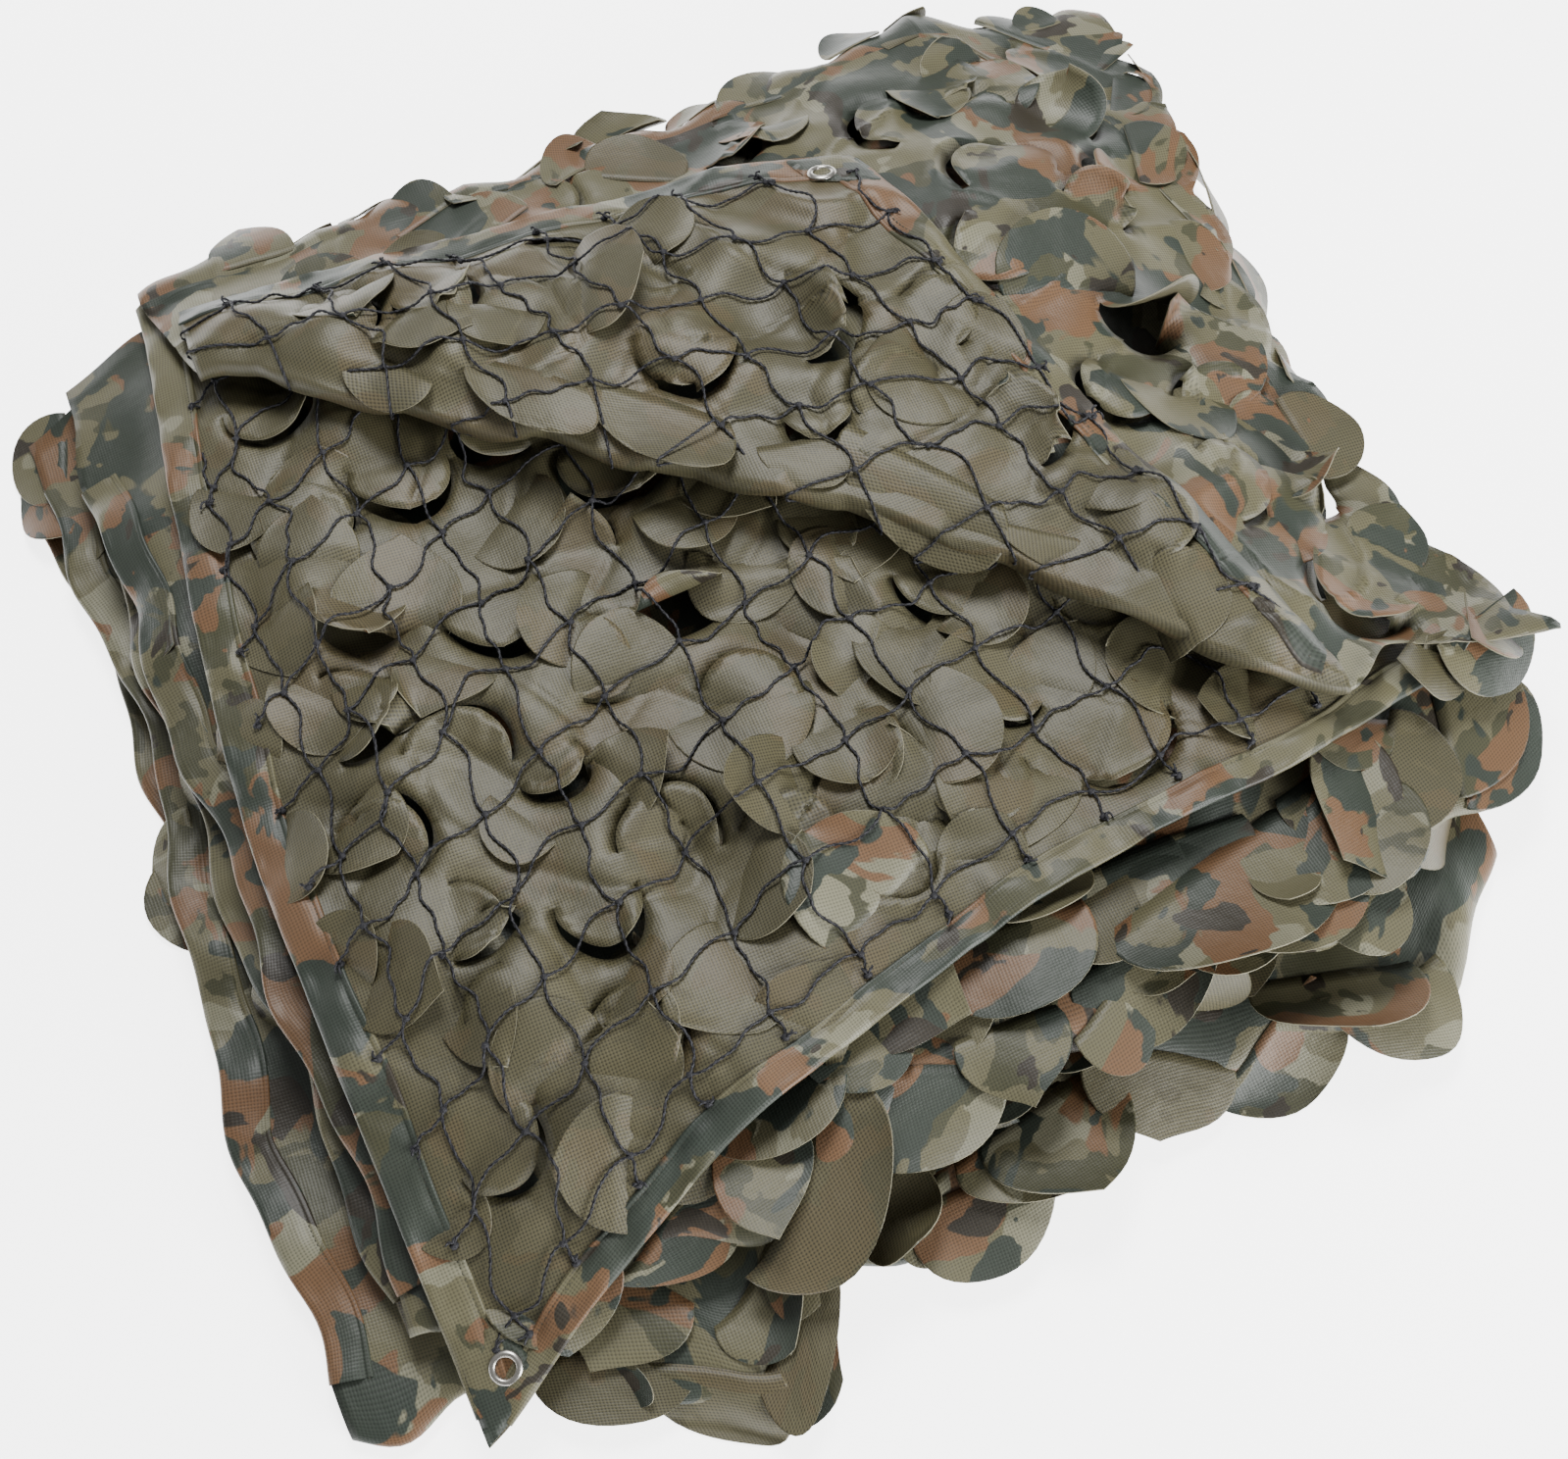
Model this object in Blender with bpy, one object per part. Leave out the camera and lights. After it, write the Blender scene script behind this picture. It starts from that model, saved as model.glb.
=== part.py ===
"""A camouflage net, folded into a low square pile.

The cloth is one strip that goes back and forth: its top stretch lies with the plain back up, and the
wrap that comes up behind the pile lies over it with its corner turned back as a flap. Leaf shaped
cuts open the cloth. Black twine netting lies on the back, sewn in along the hems, and each net
corner that shows has a metal eyelet. Metres, +Z up, origin under the middle of the pile.
"""

import math

import bmesh
import bpy
from mathutils import Matrix, Vector
from mathutils.bvhtree import BVHTree
from numpy import interp

# Cloth, twine and eyelets
SHEET = 0.0018  # thickness of the coated cloth
HEM = 0.025
TWINE = 0.0022
MESH_PITCH = 0.0495  # knot to knot, with the slack that the net lies in
TOUCH = 0.0004  # between pieces that touch
CORNER = 0.046  # side of the doubled hem corner that holds an eyelet
CORNER_THICK = 0.0030
CORNER_GAP = 0.0006
EYELET_HOLE = 0.0056  # radii
EYELET_BARREL = 0.0066
EYELET_RIM = 0.0098
EYELET_CROWN = 0.0012  # how far the rim stands over the cloth
EYELET_STEPS = 20

# Pile
PILE = 0.124  # height of the wrap over the thickest part
FLOOR_GAP = 0.004  # between the lowest stretch and what lies on it
FLAP_RISE = 0.015  # flap above the wrap, at its crest and at its free end
FLAP_END_RISE = 0.0085
FLAP_PUFF = 0.008
SLOW_WAVE = 0.024  # shares of the pile's height
LEAF_WAVE = 0.016
FLAP_LEAF = 0.0015
FLAP_CORNER = (0.186, 0.342)

# Columns across the strip, up to the flap's free corner and beyond it
COLUMNS_TO_CORNER = 14
COLUMNS_BEYOND = 8
FACE_SHOWN = 0.45  # least share of the face's length that has close rows
FACE_HIDDEN_ROWS = 3
UNDER_CREST = 0.020  # the close rows reach this far under the wrap

# Leaf cuts, and the round lobes of the cut cloth along a side or over a fold
CUT_STEPS = {"face": (2, 4), "wrap": (2, 4), "flap": (2, 4)}  # rows and columns from cut to cut
CUT_OPEN = 0.0075  # each lip moves this far from the cut's line
CUT_LIFT = 0.0060
LOBE = 0.074
LOBE_DEPTH = 0.014
LOBED_SIDES = ("second", "third", "fourth", "floor", "wrap")

# The stretches, from the front hem to the flap's free end. The level is a share of the pile's height
#         level, rows, start, end
STRETCHES = {
    "face": (0.82, 16, "front_hem", "back_fold"),
    "second": (0.61, 13, "back_fold", "upper_roll"),
    "third": (0.41, 11, "upper_roll", "inner_back"),
    "fourth": (0.21, 11, "inner_back", "lower_roll"),
    "floor": (0.00, 11, "lower_roll", "back_wrap"),
    "wrap": (1.00, 14, "back_wrap", "crest"),
    "flap": (1.00, 9, "crest", "flap_end"),
}

# Folds that join the stretches: how far each bulges past its ends, which way it faces, and its rows
FOLDS = {
    ("face", "second"): (0.012, 1, 3),
    ("second", "third"): (0.030, -1, 3),
    ("third", "fourth"): (0.012, 1, 3),
    ("fourth", "floor"): (0.034, -1, 3),
    ("floor", "wrap"): (0.034, 1, 5),
    ("wrap", "flap"): (0.010, -1, 3),
}

# Ends of the stretches in plan: y at each x
ENDS = {
    "front_hem": (
        (-0.304, -0.332), (-0.228, -0.283), (-0.130, -0.236), (-0.027, -0.205),
        (0.076, -0.177), (0.171, -0.163), (0.267, -0.155), (0.376, -0.125), (0.430, -0.118),
    ),
    "upper_roll": (
        (-0.330, -0.236), (-0.230, -0.246), (-0.130, -0.254), (0.000, -0.226),
        (0.120, -0.220), (0.250, -0.218), (0.330, -0.196), (0.400, -0.164),
    ),
    "lower_roll": (
        (-0.370, -0.262), (-0.300, -0.268), (-0.220, -0.300), (-0.185, -0.306), (-0.150, -0.344),
        (-0.118, -0.300), (0.000, -0.276), (0.150, -0.262), (0.290, -0.268), (0.340, -0.236),
        (0.410, -0.176),
    ),
    "back_fold": ((-0.300, 0.392), (0.000, 0.408), (0.430, 0.400)),
    "inner_back": ((-0.340, 0.396), (0.000, 0.400), (0.400, 0.404)),
    "back_wrap": (
        (-0.400, 0.376), (-0.340, 0.408), (-0.280, 0.438), (-0.200, 0.440), (0.080, 0.446),
        (0.300, 0.462), (0.450, 0.432),
    ),
    "crest": (
        (-0.262, 0.352), (-0.183, 0.284), (-0.106, 0.224), (-0.006, 0.150), (0.093, 0.078),
        (0.138, 0.034), (0.242, -0.088), (0.306, -0.134), (0.376, -0.116), (0.465, -0.130),
    ),
    "flap_end": (
        (-0.262, 0.406), (-0.130, 0.397), (0.000, 0.384), (0.130, 0.362), FLAP_CORNER,
        (0.246, 0.081), (0.300, -0.098), (0.376, -0.091), (0.465, -0.105),
    ),
}

# Sides of the stretches in plan: x at each y
LEFT_SIDES = {
    "face": ((-0.332, -0.304), (-0.122, -0.313), (0.032, -0.322), (0.138, -0.316), (0.400, -0.290)),
    "second": ((-0.260, -0.330), (0.000, -0.346), (0.200, -0.350), (0.400, -0.330)),
    "third": ((-0.260, -0.342), (0.000, -0.352), (0.200, -0.358), (0.400, -0.350)),
    "fourth": ((-0.280, -0.354), (0.000, -0.366), (0.200, -0.370), (0.400, -0.384)),
    "floor": (
        (-0.290, -0.366), (-0.012, -0.382), (0.231, -0.378), (0.330, -0.400), (0.376, -0.396),
        (0.420, -0.352),
    ),
    "wrap": ((0.280, -0.262), (0.400, -0.264), (0.440, -0.286)),
    "flap": ((0.280, -0.258), (0.400, -0.248)),
}
RIGHT_SIDES = {
    "face": ((-0.125, 0.398), (0.100, 0.392), (0.400, 0.405)),
    "second": ((-0.200, 0.410), (0.000, 0.384), (0.400, 0.400)),
    "third": ((-0.200, 0.398), (0.000, 0.388), (0.400, 0.406)),
    "fourth": ((-0.230, 0.388), (0.000, 0.396), (0.400, 0.416)),
    "floor": ((-0.250, 0.374), (0.000, 0.400), (0.400, 0.432)),
    "wrap": ((-0.131, 0.462), (0.007, 0.414), (0.137, 0.400), (0.335, 0.432), (0.465, 0.444)),
    "flap": ((-0.131, 0.462), (0.137, 0.400), (0.380, 0.432)),
}


def clear_scene():
    for obj in list(bpy.data.objects):
        bpy.data.objects.remove(obj, do_unlink=True)


def on_line(points, at):
    """A line given as points, read at one place."""
    return float(interp(at, [p[0] for p in points], [p[1] for p in points]))


def lobes(at, offset):
    """The round leaf lobes of an edge: how far it stands out, at a place along it."""
    return LOBE_DEPTH * (abs(math.sin(math.pi * (at / LOBE + offset))) - 0.5)


def eased(share):
    share = min(1.0, max(0.0, share))
    return share * share * (3 - 2 * share)


def pile_height(x, y):
    """How high the wrap would lie: full in the middle, lower at the rim and at the front left corner."""
    left = 1 - 0.10 * eased((-0.24 - x) / 0.07) - 0.30 * eased((-0.29 - x) / 0.11)
    right = 1 - 0.54 * eased((x - 0.24) / 0.20)
    back = 1 - 0.50 * eased((y - 0.27) / 0.22)
    front = 1 - 0.26 * eased((-0.17 - y) / 0.16)
    corner = 0.30 + 0.70 * eased((math.hypot(x + 0.315, y + 0.345) + 0.045) / 0.33)
    return PILE * left * right * back * front * corner


def unevenness(x, y, level):
    """The slow waves of a loosely laid sheet, and over them its leaves, as shares of its height."""
    phase = 5.3 * level
    slow = math.sin(x / 0.047 + phase) * math.cos(y / 0.039 - 1.7 * phase)
    leaf = math.sin(x / 0.0172 + 2.1 * phase + 0.8) * math.sin(y / 0.0161 + 1.3 * phase)
    return (SLOW_WAVE * slow + LEAF_WAVE * leaf) * (0.45 + level)


def height(name, x, y, along):
    """Height of a stretch's middle surface; along is the share of the way from its start to its end."""
    if name == "floor":
        return SHEET / 2
    level = STRETCHES[name][0]
    over_floor = SHEET / 2 + FLOOR_GAP + pile_height(x, y) * (level + unevenness(x, y, level))
    if name != "flap":
        return over_floor
    leaf = FLAP_LEAF * (1 + math.sin(x / 0.019 + 1.1) * math.sin(y / 0.017))
    puff = FLAP_PUFF * math.sin(math.pi * along)
    return over_floor + FLAP_END_RISE + (FLAP_RISE - FLAP_END_RISE) * (1 - along) + puff + leaf


def columns():
    """Shares across the strip: one column on the flap's free corner, and a corner's width beside each hem."""
    left = LEFT_SIDES["flap"][-1][1]
    width = on_line(RIGHT_SIDES["flap"], FLAP_CORNER[1]) - left
    corner = (FLAP_CORNER[0] - left) / width
    first = CORNER / width
    count = COLUMNS_TO_CORNER - 2
    between = [first + (corner - 2 * first) * i / count for i in range(count + 1)]
    beyond = [corner + (1 - corner) * (i + 1) / COLUMNS_BEYOND for i in range(COLUMNS_BEYOND)]
    return [0.0] + between + [corner] + beyond


def place(name, across, along):
    """A point of a stretch in plan, from its shares across and along."""
    start, end = ENDS[STRETCHES[name][2]], ENDS[STRETCHES[name][3]]
    x = LEFT_SIDES[name][0][1] * (1 - across) + RIGHT_SIDES[name][0][1] * across
    for _ in range(4):  # the sides lean, so x and y settle together
        y_start, y_end = on_line(start, x), on_line(end, x)
        y = y_start + (y_end - y_start) * along
        x_left, x_right = on_line(LEFT_SIDES[name], y), on_line(RIGHT_SIDES[name], y)
        if name in LOBED_SIDES:
            offset = STRETCHES[name][0]
            x_left -= lobes(y, offset)
            x_right += lobes(y, offset + 0.4)
        x = x_left + (x_right - x_left) * across
    return x, y


def even_share(across, step, steps):
    return step / (steps - 1)


def face_share(across, step, steps):
    """On the face the rows are close where it shows, as far as the crest, and wide under the wrap."""
    x, y_front = place("face", across, 0.0)
    length = place("face", across, 1.0)[1] - y_front
    shown = max(FACE_SHOWN, (on_line(ENDS["crest"], x) + UNDER_CREST - y_front) / length)
    first = CORNER / length
    shown_rows = steps - FACE_HIDDEN_ROWS
    if step == 0:
        return 0.0
    if step <= shown_rows:
        return first + (shown - first) * (step - 1) / (shown_rows - 1)
    return shown + (1 - shown) * (step - shown_rows) / (FACE_HIDDEN_ROWS - 1)


def flap_share(across, step, steps):
    """The flap's last row is as deep as the corner that holds its eyelet."""
    length = place("flap", across, 1.0)[1] - place("flap", across, 0.0)[1]
    last = min(CORNER / length, 1 / 3)
    if step == steps - 1:
        return 1.0
    return (1 - last) * step / (steps - 2)


def stretch_rows(name, shares_across):
    share = {"face": face_share, "flap": flap_share}.get(name, even_share)
    steps = STRETCHES[name][1]
    rows = []
    for step in range(steps):
        row = []
        for across in shares_across:
            along = share(across, step, steps)
            x, y = place(name, across, along)
            row.append(Vector((x, y, height(name, x, y, along))))
        rows.append(row)
    return rows


def fold_rows(before, after, bulge, toward, count):
    """Half round rows from the last row of one stretch to the first row of the next."""
    rows = []
    lobed = min(1.0, bulge / LOBE_DEPTH - 0.5)
    for step in range(1, count + 1):
        turn = math.pi * step / (count + 1)
        row = []
        for a, b in zip(before, after):
            middle = (a + b) / 2
            point = middle + (a - b) / 2 * math.cos(turn)
            reach = bulge + lobed * lobes(point.x, middle.z / LOBE)
            point.y += toward * reach * math.sin(turn)
            row.append(point)
        rows.append(row)
    return rows


def flatten_corner(a, b, c, d):
    """Moves d into the plane of a, b and c."""
    normal = (b - a).cross(c - a)
    d.z = a.z - (normal.x * (d.x - a.x) + normal.y * (d.y - a.y)) / normal.z


def folded_rows(shares_across):
    """All rows of the strip from the front hem to the flap's free edge, and where each stretch starts."""
    names = list(STRETCHES)
    stretches = {name: stretch_rows(name, shares_across) for name in names}
    rows, starts = [], {}
    for name, following in zip(names, names[1:] + [None]):
        starts[name] = len(rows)
        rows += stretches[name]
        if following:
            rows += fold_rows(stretches[name][-1], stretches[following][0], *FOLDS[name, following])
    flatten_corner(rows[0][0], rows[0][1], rows[1][0], rows[1][1])
    corner = COLUMNS_TO_CORNER
    flatten_corner(rows[-1][corner], rows[-1][corner - 1], rows[-2][corner], rows[-2][corner - 1])
    return rows, starts


def cut_places(rows, starts):
    """Row and column of each opened cut's middle, away from the eyelets and where its lips have room."""
    column_count = len(rows[0])
    found = set()
    for name, (row_step, column_step) in CUT_STEPS.items():
        first = starts[name] + 2
        last = starts[name] + STRETCHES[name][1] - 3
        if name == "face":
            last -= FACE_HIDDEN_ROWS
        for number, row in enumerate(range(first, last + 1, row_step)):
            shift = (2 * number) % column_step
            for column in range(2 + shift, column_count - 2, column_step):
                point = rows[row][column]
                room = (rows[row + 1][column] - rows[row - 1][column]).length
                at_eyelet = row > len(rows) - 5 and abs(column - COLUMNS_TO_CORNER) < 3
                under_flap = name == "wrap" and point.y < on_line(ENDS["flap_end"], point.x) + HEM
                if room > 6 * CUT_OPEN and not at_eyelet and not under_flap:
                    found.add((row, column))
    return found


def cloth_mesh(rows, cuts, left_out):
    """The strip's middle surface; a cut's middle point is split in two lips, one of them lifted.

    It also gives the faces that follow each row, from which the netting's bed is read.
    """
    mesh = bmesh.new()
    faces_after = {}
    points = [[mesh.verts.new(p) for p in row] for row in rows]
    lips = {}
    for row, column in sorted(cuts):
        along = (rows[row + 1][column] - rows[row - 1][column]).normalized()
        upper = points[row][column]
        lips[row, column] = mesh.verts.new(upper.co - along * CUT_OPEN)
        upper.co += along * CUT_OPEN + Vector((0, 0, CUT_LIFT))
    for r in range(len(rows) - 1):
        faces_after[r] = []
        for c in range(len(rows[0]) - 1):
            if (r, c) in left_out:
                continue
            far = [lips.get((r + 1, k), points[r + 1][k]) for k in (c + 1, c)]
            faces_after[r].append(mesh.faces.new([points[r][c], points[r][c + 1]] + far))
    mesh.normal_update()
    return mesh, faces_after


def add_object(name, mesh, material):
    data = bpy.data.meshes.new(name)
    mesh.to_mesh(data)
    mesh.free()
    obj = bpy.data.objects.new(name, data)
    bpy.context.scene.collection.objects.link(obj)
    data.materials.append(material)
    return obj


def thicken(obj, thickness):
    solidify = obj.modifiers.new("Thickness", "SOLIDIFY")
    solidify.thickness = thickness
    solidify.offset = 0


def principled(name, colour, roughness, metallic=0.0):
    material = bpy.data.materials.new(name)
    material.use_nodes = True
    shader = material.node_tree.nodes["Principled BSDF"]
    shader.inputs["Base Color"].default_value = (*colour, 1)
    shader.inputs["Roughness"].default_value = roughness
    shader.inputs["Metallic"].default_value = metallic
    return material


def corner_frame(quad):
    """Middle of a hem corner and its axes: across, along and out of the cloth."""
    centre = sum(quad, Vector()) / 4
    across = (quad[1] - quad[0]).normalized()
    normal = across.cross(quad[3] - quad[0]).normalized()
    if normal.z < 0:
        normal = -normal
    return centre, across, normal.cross(across), normal


def hem_corner(name, quad, material):
    """The doubled corner of the hem, with the hole for its eyelet."""
    centre, across, along, normal = corner_frame(quad)
    mesh = bmesh.new()
    rim = [mesh.verts.new(centre + (point - centre) * (1 - 2 * CORNER_GAP / CORNER)) for point in quad]
    hole = []
    segments = 16
    for i in range(segments):
        turn = 2 * math.pi * (i + 0.5) / segments
        spoke = across * math.cos(turn) + along * math.sin(turn)
        hole.append(mesh.verts.new(centre + spoke * (EYELET_BARREL + TOUCH)))
    edges = [mesh.edges.new((loop[i - 1], loop[i])) for loop in (rim, hole) for i in range(len(loop))]
    bmesh.ops.triangle_fill(mesh, edges=edges, use_beauty=True, normal=normal)
    bmesh.ops.recalc_face_normals(mesh, faces=mesh.faces)
    obj = add_object(name, mesh, material)
    thicken(obj, CORNER_THICK)
    return obj


def eyelet(name, quad, material):
    """A rolled metal eyelet: a barrel through the hem corner and a rim on each side."""
    centre, across, along, normal = corner_frame(quad)
    inner = CORNER_THICK / 2 + TOUCH
    outer = inner + EYELET_CROWN
    bevel = EYELET_CROWN * 0.8
    profile = [
        (EYELET_HOLE, -outer), (EYELET_RIM - bevel, -outer), (EYELET_RIM, -inner),
        (EYELET_BARREL, -inner), (EYELET_BARREL, inner), (EYELET_RIM, inner),
        (EYELET_RIM - bevel, outer), (EYELET_HOLE, outer),
    ]
    mesh = bmesh.new()
    points = [mesh.verts.new((radius, 0, z)) for radius, z in profile]
    edges = [mesh.edges.new((points[i - 1], points[i])) for i in range(len(points))]
    bmesh.ops.spin(
        mesh, geom=points + edges, axis=(0, 0, 1), cent=(0, 0, 0), angle=2 * math.pi, steps=EYELET_STEPS
    )
    bmesh.ops.remove_doubles(mesh, verts=mesh.verts, dist=1e-6)
    bmesh.ops.recalc_face_normals(mesh, faces=mesh.faces)
    obj = add_object(name, mesh, material)
    obj.matrix_world = Matrix.Translation(centre) @ Matrix((across, along, normal)).transposed().to_4x4()
    obj.data.shade_smooth()
    obj.data.set_sharp_from_angle(angle=math.radians(40))
    return obj


def bed_of(faces):
    """A search tree of one stretch's surface, for the netting to lie on."""
    points = [vert.co.copy() for face in faces for vert in face.verts]
    quads = [tuple(range(4 * i, 4 * i + 4)) for i in range(len(faces))]
    return BVHTree.FromPolygons(points, quads)


def laid_on(bed, mesh, clearance):
    """Drops a flat net onto its bed and lifts its knots until no strand comes nearer than the clearance."""
    beside = 1.4 * TWINE

    def bed_height(x, y):
        highest = 0.0
        for side_x, side_y in ((0, 0), (1, 0), (-1, 0), (0, 1), (0, -1)):
            start = Vector((x + side_x * beside, y + side_y * beside, 4 * PILE))
            hit = bed.ray_cast(start, Vector((0, 0, -1)))[0]
            highest = max(highest, hit.z if hit else 0.0)
        return highest or bed.find_nearest(Vector((x, y, PILE)))[0].z

    for vert in mesh.verts:
        vert.co.z = bed_height(vert.co.x, vert.co.y) + clearance
    samples = 12
    for _ in range(2):
        lifts = dict.fromkeys(mesh.verts, 0.0)
        for edge in mesh.edges:
            a, b = edge.verts
            for i in range(samples + 1):
                point = a.co.lerp(b.co, i / samples)
                short = bed_height(point.x, point.y) + clearance - point.z
                lifts[a] = max(lifts[a], short)
                lifts[b] = max(lifts[b], short)
        for vert, lift in lifts.items():
            vert.co.z += lift


def netting(name, knots, cells, bed, material):
    """A fused piece of the netting: knots(i, j) gives a knot in plan, and cells lists the meshes it has."""
    mesh = bmesh.new()
    made = {}
    for i, j in cells:
        corners = [(i, j), (i + 1, j), (i + 1, j + 1), (i, j + 1)]
        for at in corners:
            if at not in made:
                made[at] = mesh.verts.new((*knots(*at), 0))
        mesh.faces.new([made[at] for at in corners])
    laid_on(bed, mesh, SHEET / 2 + TWINE / 2 + 3 * TOUCH)
    mesh.normal_update()
    obj = add_object(name, mesh, material)
    wire = obj.modifiers.new("Strands", "WIREFRAME")
    wire.thickness = TWINE
    wire.use_even_offset = False
    wire.use_boundary = True
    return obj


def slack(i, j):
    """How far a knot of the loose net has slipped from its place in plan."""
    return 0.004 * math.sin(2.1 * i + 1.7 * j), 0.004 * math.sin(1.3 * i + 2.6 * j)


def face_knot(i, j):
    """Knots of the netting on the face: rows run along the front hem, columns along the left hem."""
    slip_x, slip_y = slack(i, j)
    x = ENDS["front_hem"][0][0] + HEM + 0.97 * MESH_PITCH * i - 0.09 * MESH_PITCH * j + slip_x
    return x, on_line(ENDS["front_hem"], x) + HEM + MESH_PITCH * j + slip_y


def flap_knot(i, j):
    """Knots of the netting on the flap: columns run along its right hem, rows along its back hem."""
    ends = ENDS["flap_end"]
    corner = Vector(FLAP_CORNER)
    back = (Vector(ends[0]) - corner).normalized()
    right = (Vector(ends[ends.index(FLAP_CORNER) + 2]) - corner).normalized()
    point = corner + right * (HEM + MESH_PITCH * j) + back * (HEM + MESH_PITCH * i) + Vector(slack(i, j))
    return point.x, point.y


def cells_between(knots, across, keep):
    """Meshes of a net, but for the one at the eyelet, whose four knots all pass a test in plan."""
    places = [(i, j) for i in range(across) for j in range(across) if i + j > 0]
    return [(i, j) for i, j in places if all(keep(*knots(i + a, j + b)) for a in (0, 1) for b in (0, 1))]


def stand_on_origin(objects):
    """Moves the whole pile so that the origin is under the middle of its box."""
    bpy.context.view_layer.update()
    graph = bpy.context.evaluated_depsgraph_get()
    points = []
    for obj in objects:
        evaluated = obj.evaluated_get(graph)
        mesh = evaluated.to_mesh()
        points += [evaluated.matrix_world @ vert.co for vert in mesh.vertices]
        evaluated.to_mesh_clear()
    low = [min(point[axis] for point in points) for axis in range(3)]
    high = [max(point[axis] for point in points) for axis in range(3)]
    for obj in objects:
        obj.location -= Vector(((low[0] + high[0]) / 2, (low[1] + high[1]) / 2, low[2]))


clear_scene()
cloth_finish = principled("camouflage_cloth", (0.20, 0.19, 0.13), 0.85)
twine_finish = principled("black_twine", (0.010, 0.011, 0.016), 0.80)
metal_finish = principled("nickel", (0.62, 0.61, 0.58), 0.30, 1.0)

# The folded cloth, without the two cells that the hem corners fill
sheet_rows, stretch_starts = folded_rows(columns())
front_cell = (0, 0)
back_cell = (len(sheet_rows) - 2, COLUMNS_TO_CORNER - 1)
leaf_cuts = cut_places(sheet_rows, stretch_starts)
sheet_mesh, sheet_faces = cloth_mesh(sheet_rows, leaf_cuts, {front_cell, back_cell})
beds = {}
for stretch in ("face", "flap"):
    first_row = stretch_starts[stretch]
    bed_rows = range(first_row, first_row + STRETCHES[stretch][1] - 1)
    beds[stretch] = bed_of([face for row in bed_rows for face in sheet_faces[row]])
cloth = add_object("net_cloth", sheet_mesh, cloth_finish)
thicken(cloth, SHEET)
parts = [cloth]

# The hem corners and their eyelets
for side, (r, c) in {"front": front_cell, "back": back_cell}.items():
    quad_points = [sheet_rows[r][c], sheet_rows[r][c + 1], sheet_rows[r + 1][c + 1], sheet_rows[r + 1][c]]
    parts.append(hem_corner("hem_corner_" + side, quad_points, cloth_finish))
    parts.append(eyelet("eyelet_" + side, quad_points, metal_finish))

# The two ends of the netting that show
face_cells = cells_between(
    face_knot, 13, lambda x, y: y < on_line(ENDS["crest"], x) + 0.024 and x < RIGHT_SIDES["face"][0][1] - HEM
)
flap_cells = cells_between(
    flap_knot, 9, lambda x, y: y > on_line(ENDS["crest"], x) + 0.006 and x > LEFT_SIDES["flap"][0][1]
)
parts.append(netting("netting_face", face_knot, face_cells, beds["face"], twine_finish))
parts.append(netting("netting_flap", flap_knot, flap_cells, beds["flap"], twine_finish))

stand_on_origin(parts)
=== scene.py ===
"""Camouflage net folded into a low square pile: its looks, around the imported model."""

import math
from functools import partial

import bmesh
import bpy
import numpy as np
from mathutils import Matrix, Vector
from mathutils.bvhtree import BVHTree
from mathutils.geometry import delaunay_2d_cdt


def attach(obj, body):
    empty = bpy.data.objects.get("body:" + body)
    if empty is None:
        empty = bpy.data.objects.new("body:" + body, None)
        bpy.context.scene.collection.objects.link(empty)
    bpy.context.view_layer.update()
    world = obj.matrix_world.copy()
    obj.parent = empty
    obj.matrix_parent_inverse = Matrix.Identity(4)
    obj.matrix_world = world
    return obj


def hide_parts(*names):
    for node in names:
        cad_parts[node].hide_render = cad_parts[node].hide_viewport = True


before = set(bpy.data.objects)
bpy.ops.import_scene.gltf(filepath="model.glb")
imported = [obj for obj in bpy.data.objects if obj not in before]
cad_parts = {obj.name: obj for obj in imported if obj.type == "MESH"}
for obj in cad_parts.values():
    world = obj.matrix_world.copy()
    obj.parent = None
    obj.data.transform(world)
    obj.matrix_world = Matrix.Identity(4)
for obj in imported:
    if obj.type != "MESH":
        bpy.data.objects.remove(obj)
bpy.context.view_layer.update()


# FACE OF THE NET
# The net's top stretch lies back up: olive coated cloth, with round leaves cut on most of their edge.
# The leaves lift, slide and curl, and dark gaps open beside them.
MIDDLE = np.array((0.0345, 0.0697, 0.0))  # the pile's middle, in plan measure
CLOTH = 0.0007  # thickness of the net's cloth
SOLID_SHEET = 0.0018  # thickness of the plain solids' cloth
FLOOR_GAP = 0.004
PILE = 0.124  # height of the pile where it is full
THIN_PILE = 0.09  # where the pile is lower than this, its creases flatten out
FACE_LEVEL = 0.82  # height of the face, as a share of the pile
ROUNDING = (-0.016, -0.008, 0.0, 0.008, 0.016)  # places averaged to round a line's corners
WAVES = 14  # waves in a crumple
FACE_STEP = 0.0036
KNIFE_STEP = 0.0028
EYELET_HOLE = 0.0062  # radius of the hole in the cloth
EYELET_LEVEL = 0.024  # radius of the level cloth round an eyelet
EYELET_DROP = 0.0014
HEM_CLEAR = 0.024
LEAF_ROOM = 1.07  # a leaf's reach with its wobble, as a share of its radius
LEAF_GAP = 0.0015
LEAST_LEAF = 0.014
FILL_SIZES = (0.026, 0.034)  # radius of the leaves that fill the gaps between those of the tables
FILL_WAYS = ("flat", "over", "under", "drawn", "flat", "point", "drawn", "curled")
FILL_TRIES = 900
CUT_WAYS = ("drawn", "open", "point", "tipped", "curled")
LAID_GROWTH = 1.16  # the uncut leaves' size against their tables
PROBE = 0.003  # how far a leaf looks ahead and aside for the way its cloth runs
NET_LEVEL = 0.160  # the netting over it keeps the top of the pile down to this
LEAST_HEIGHT = 0.0006
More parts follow.
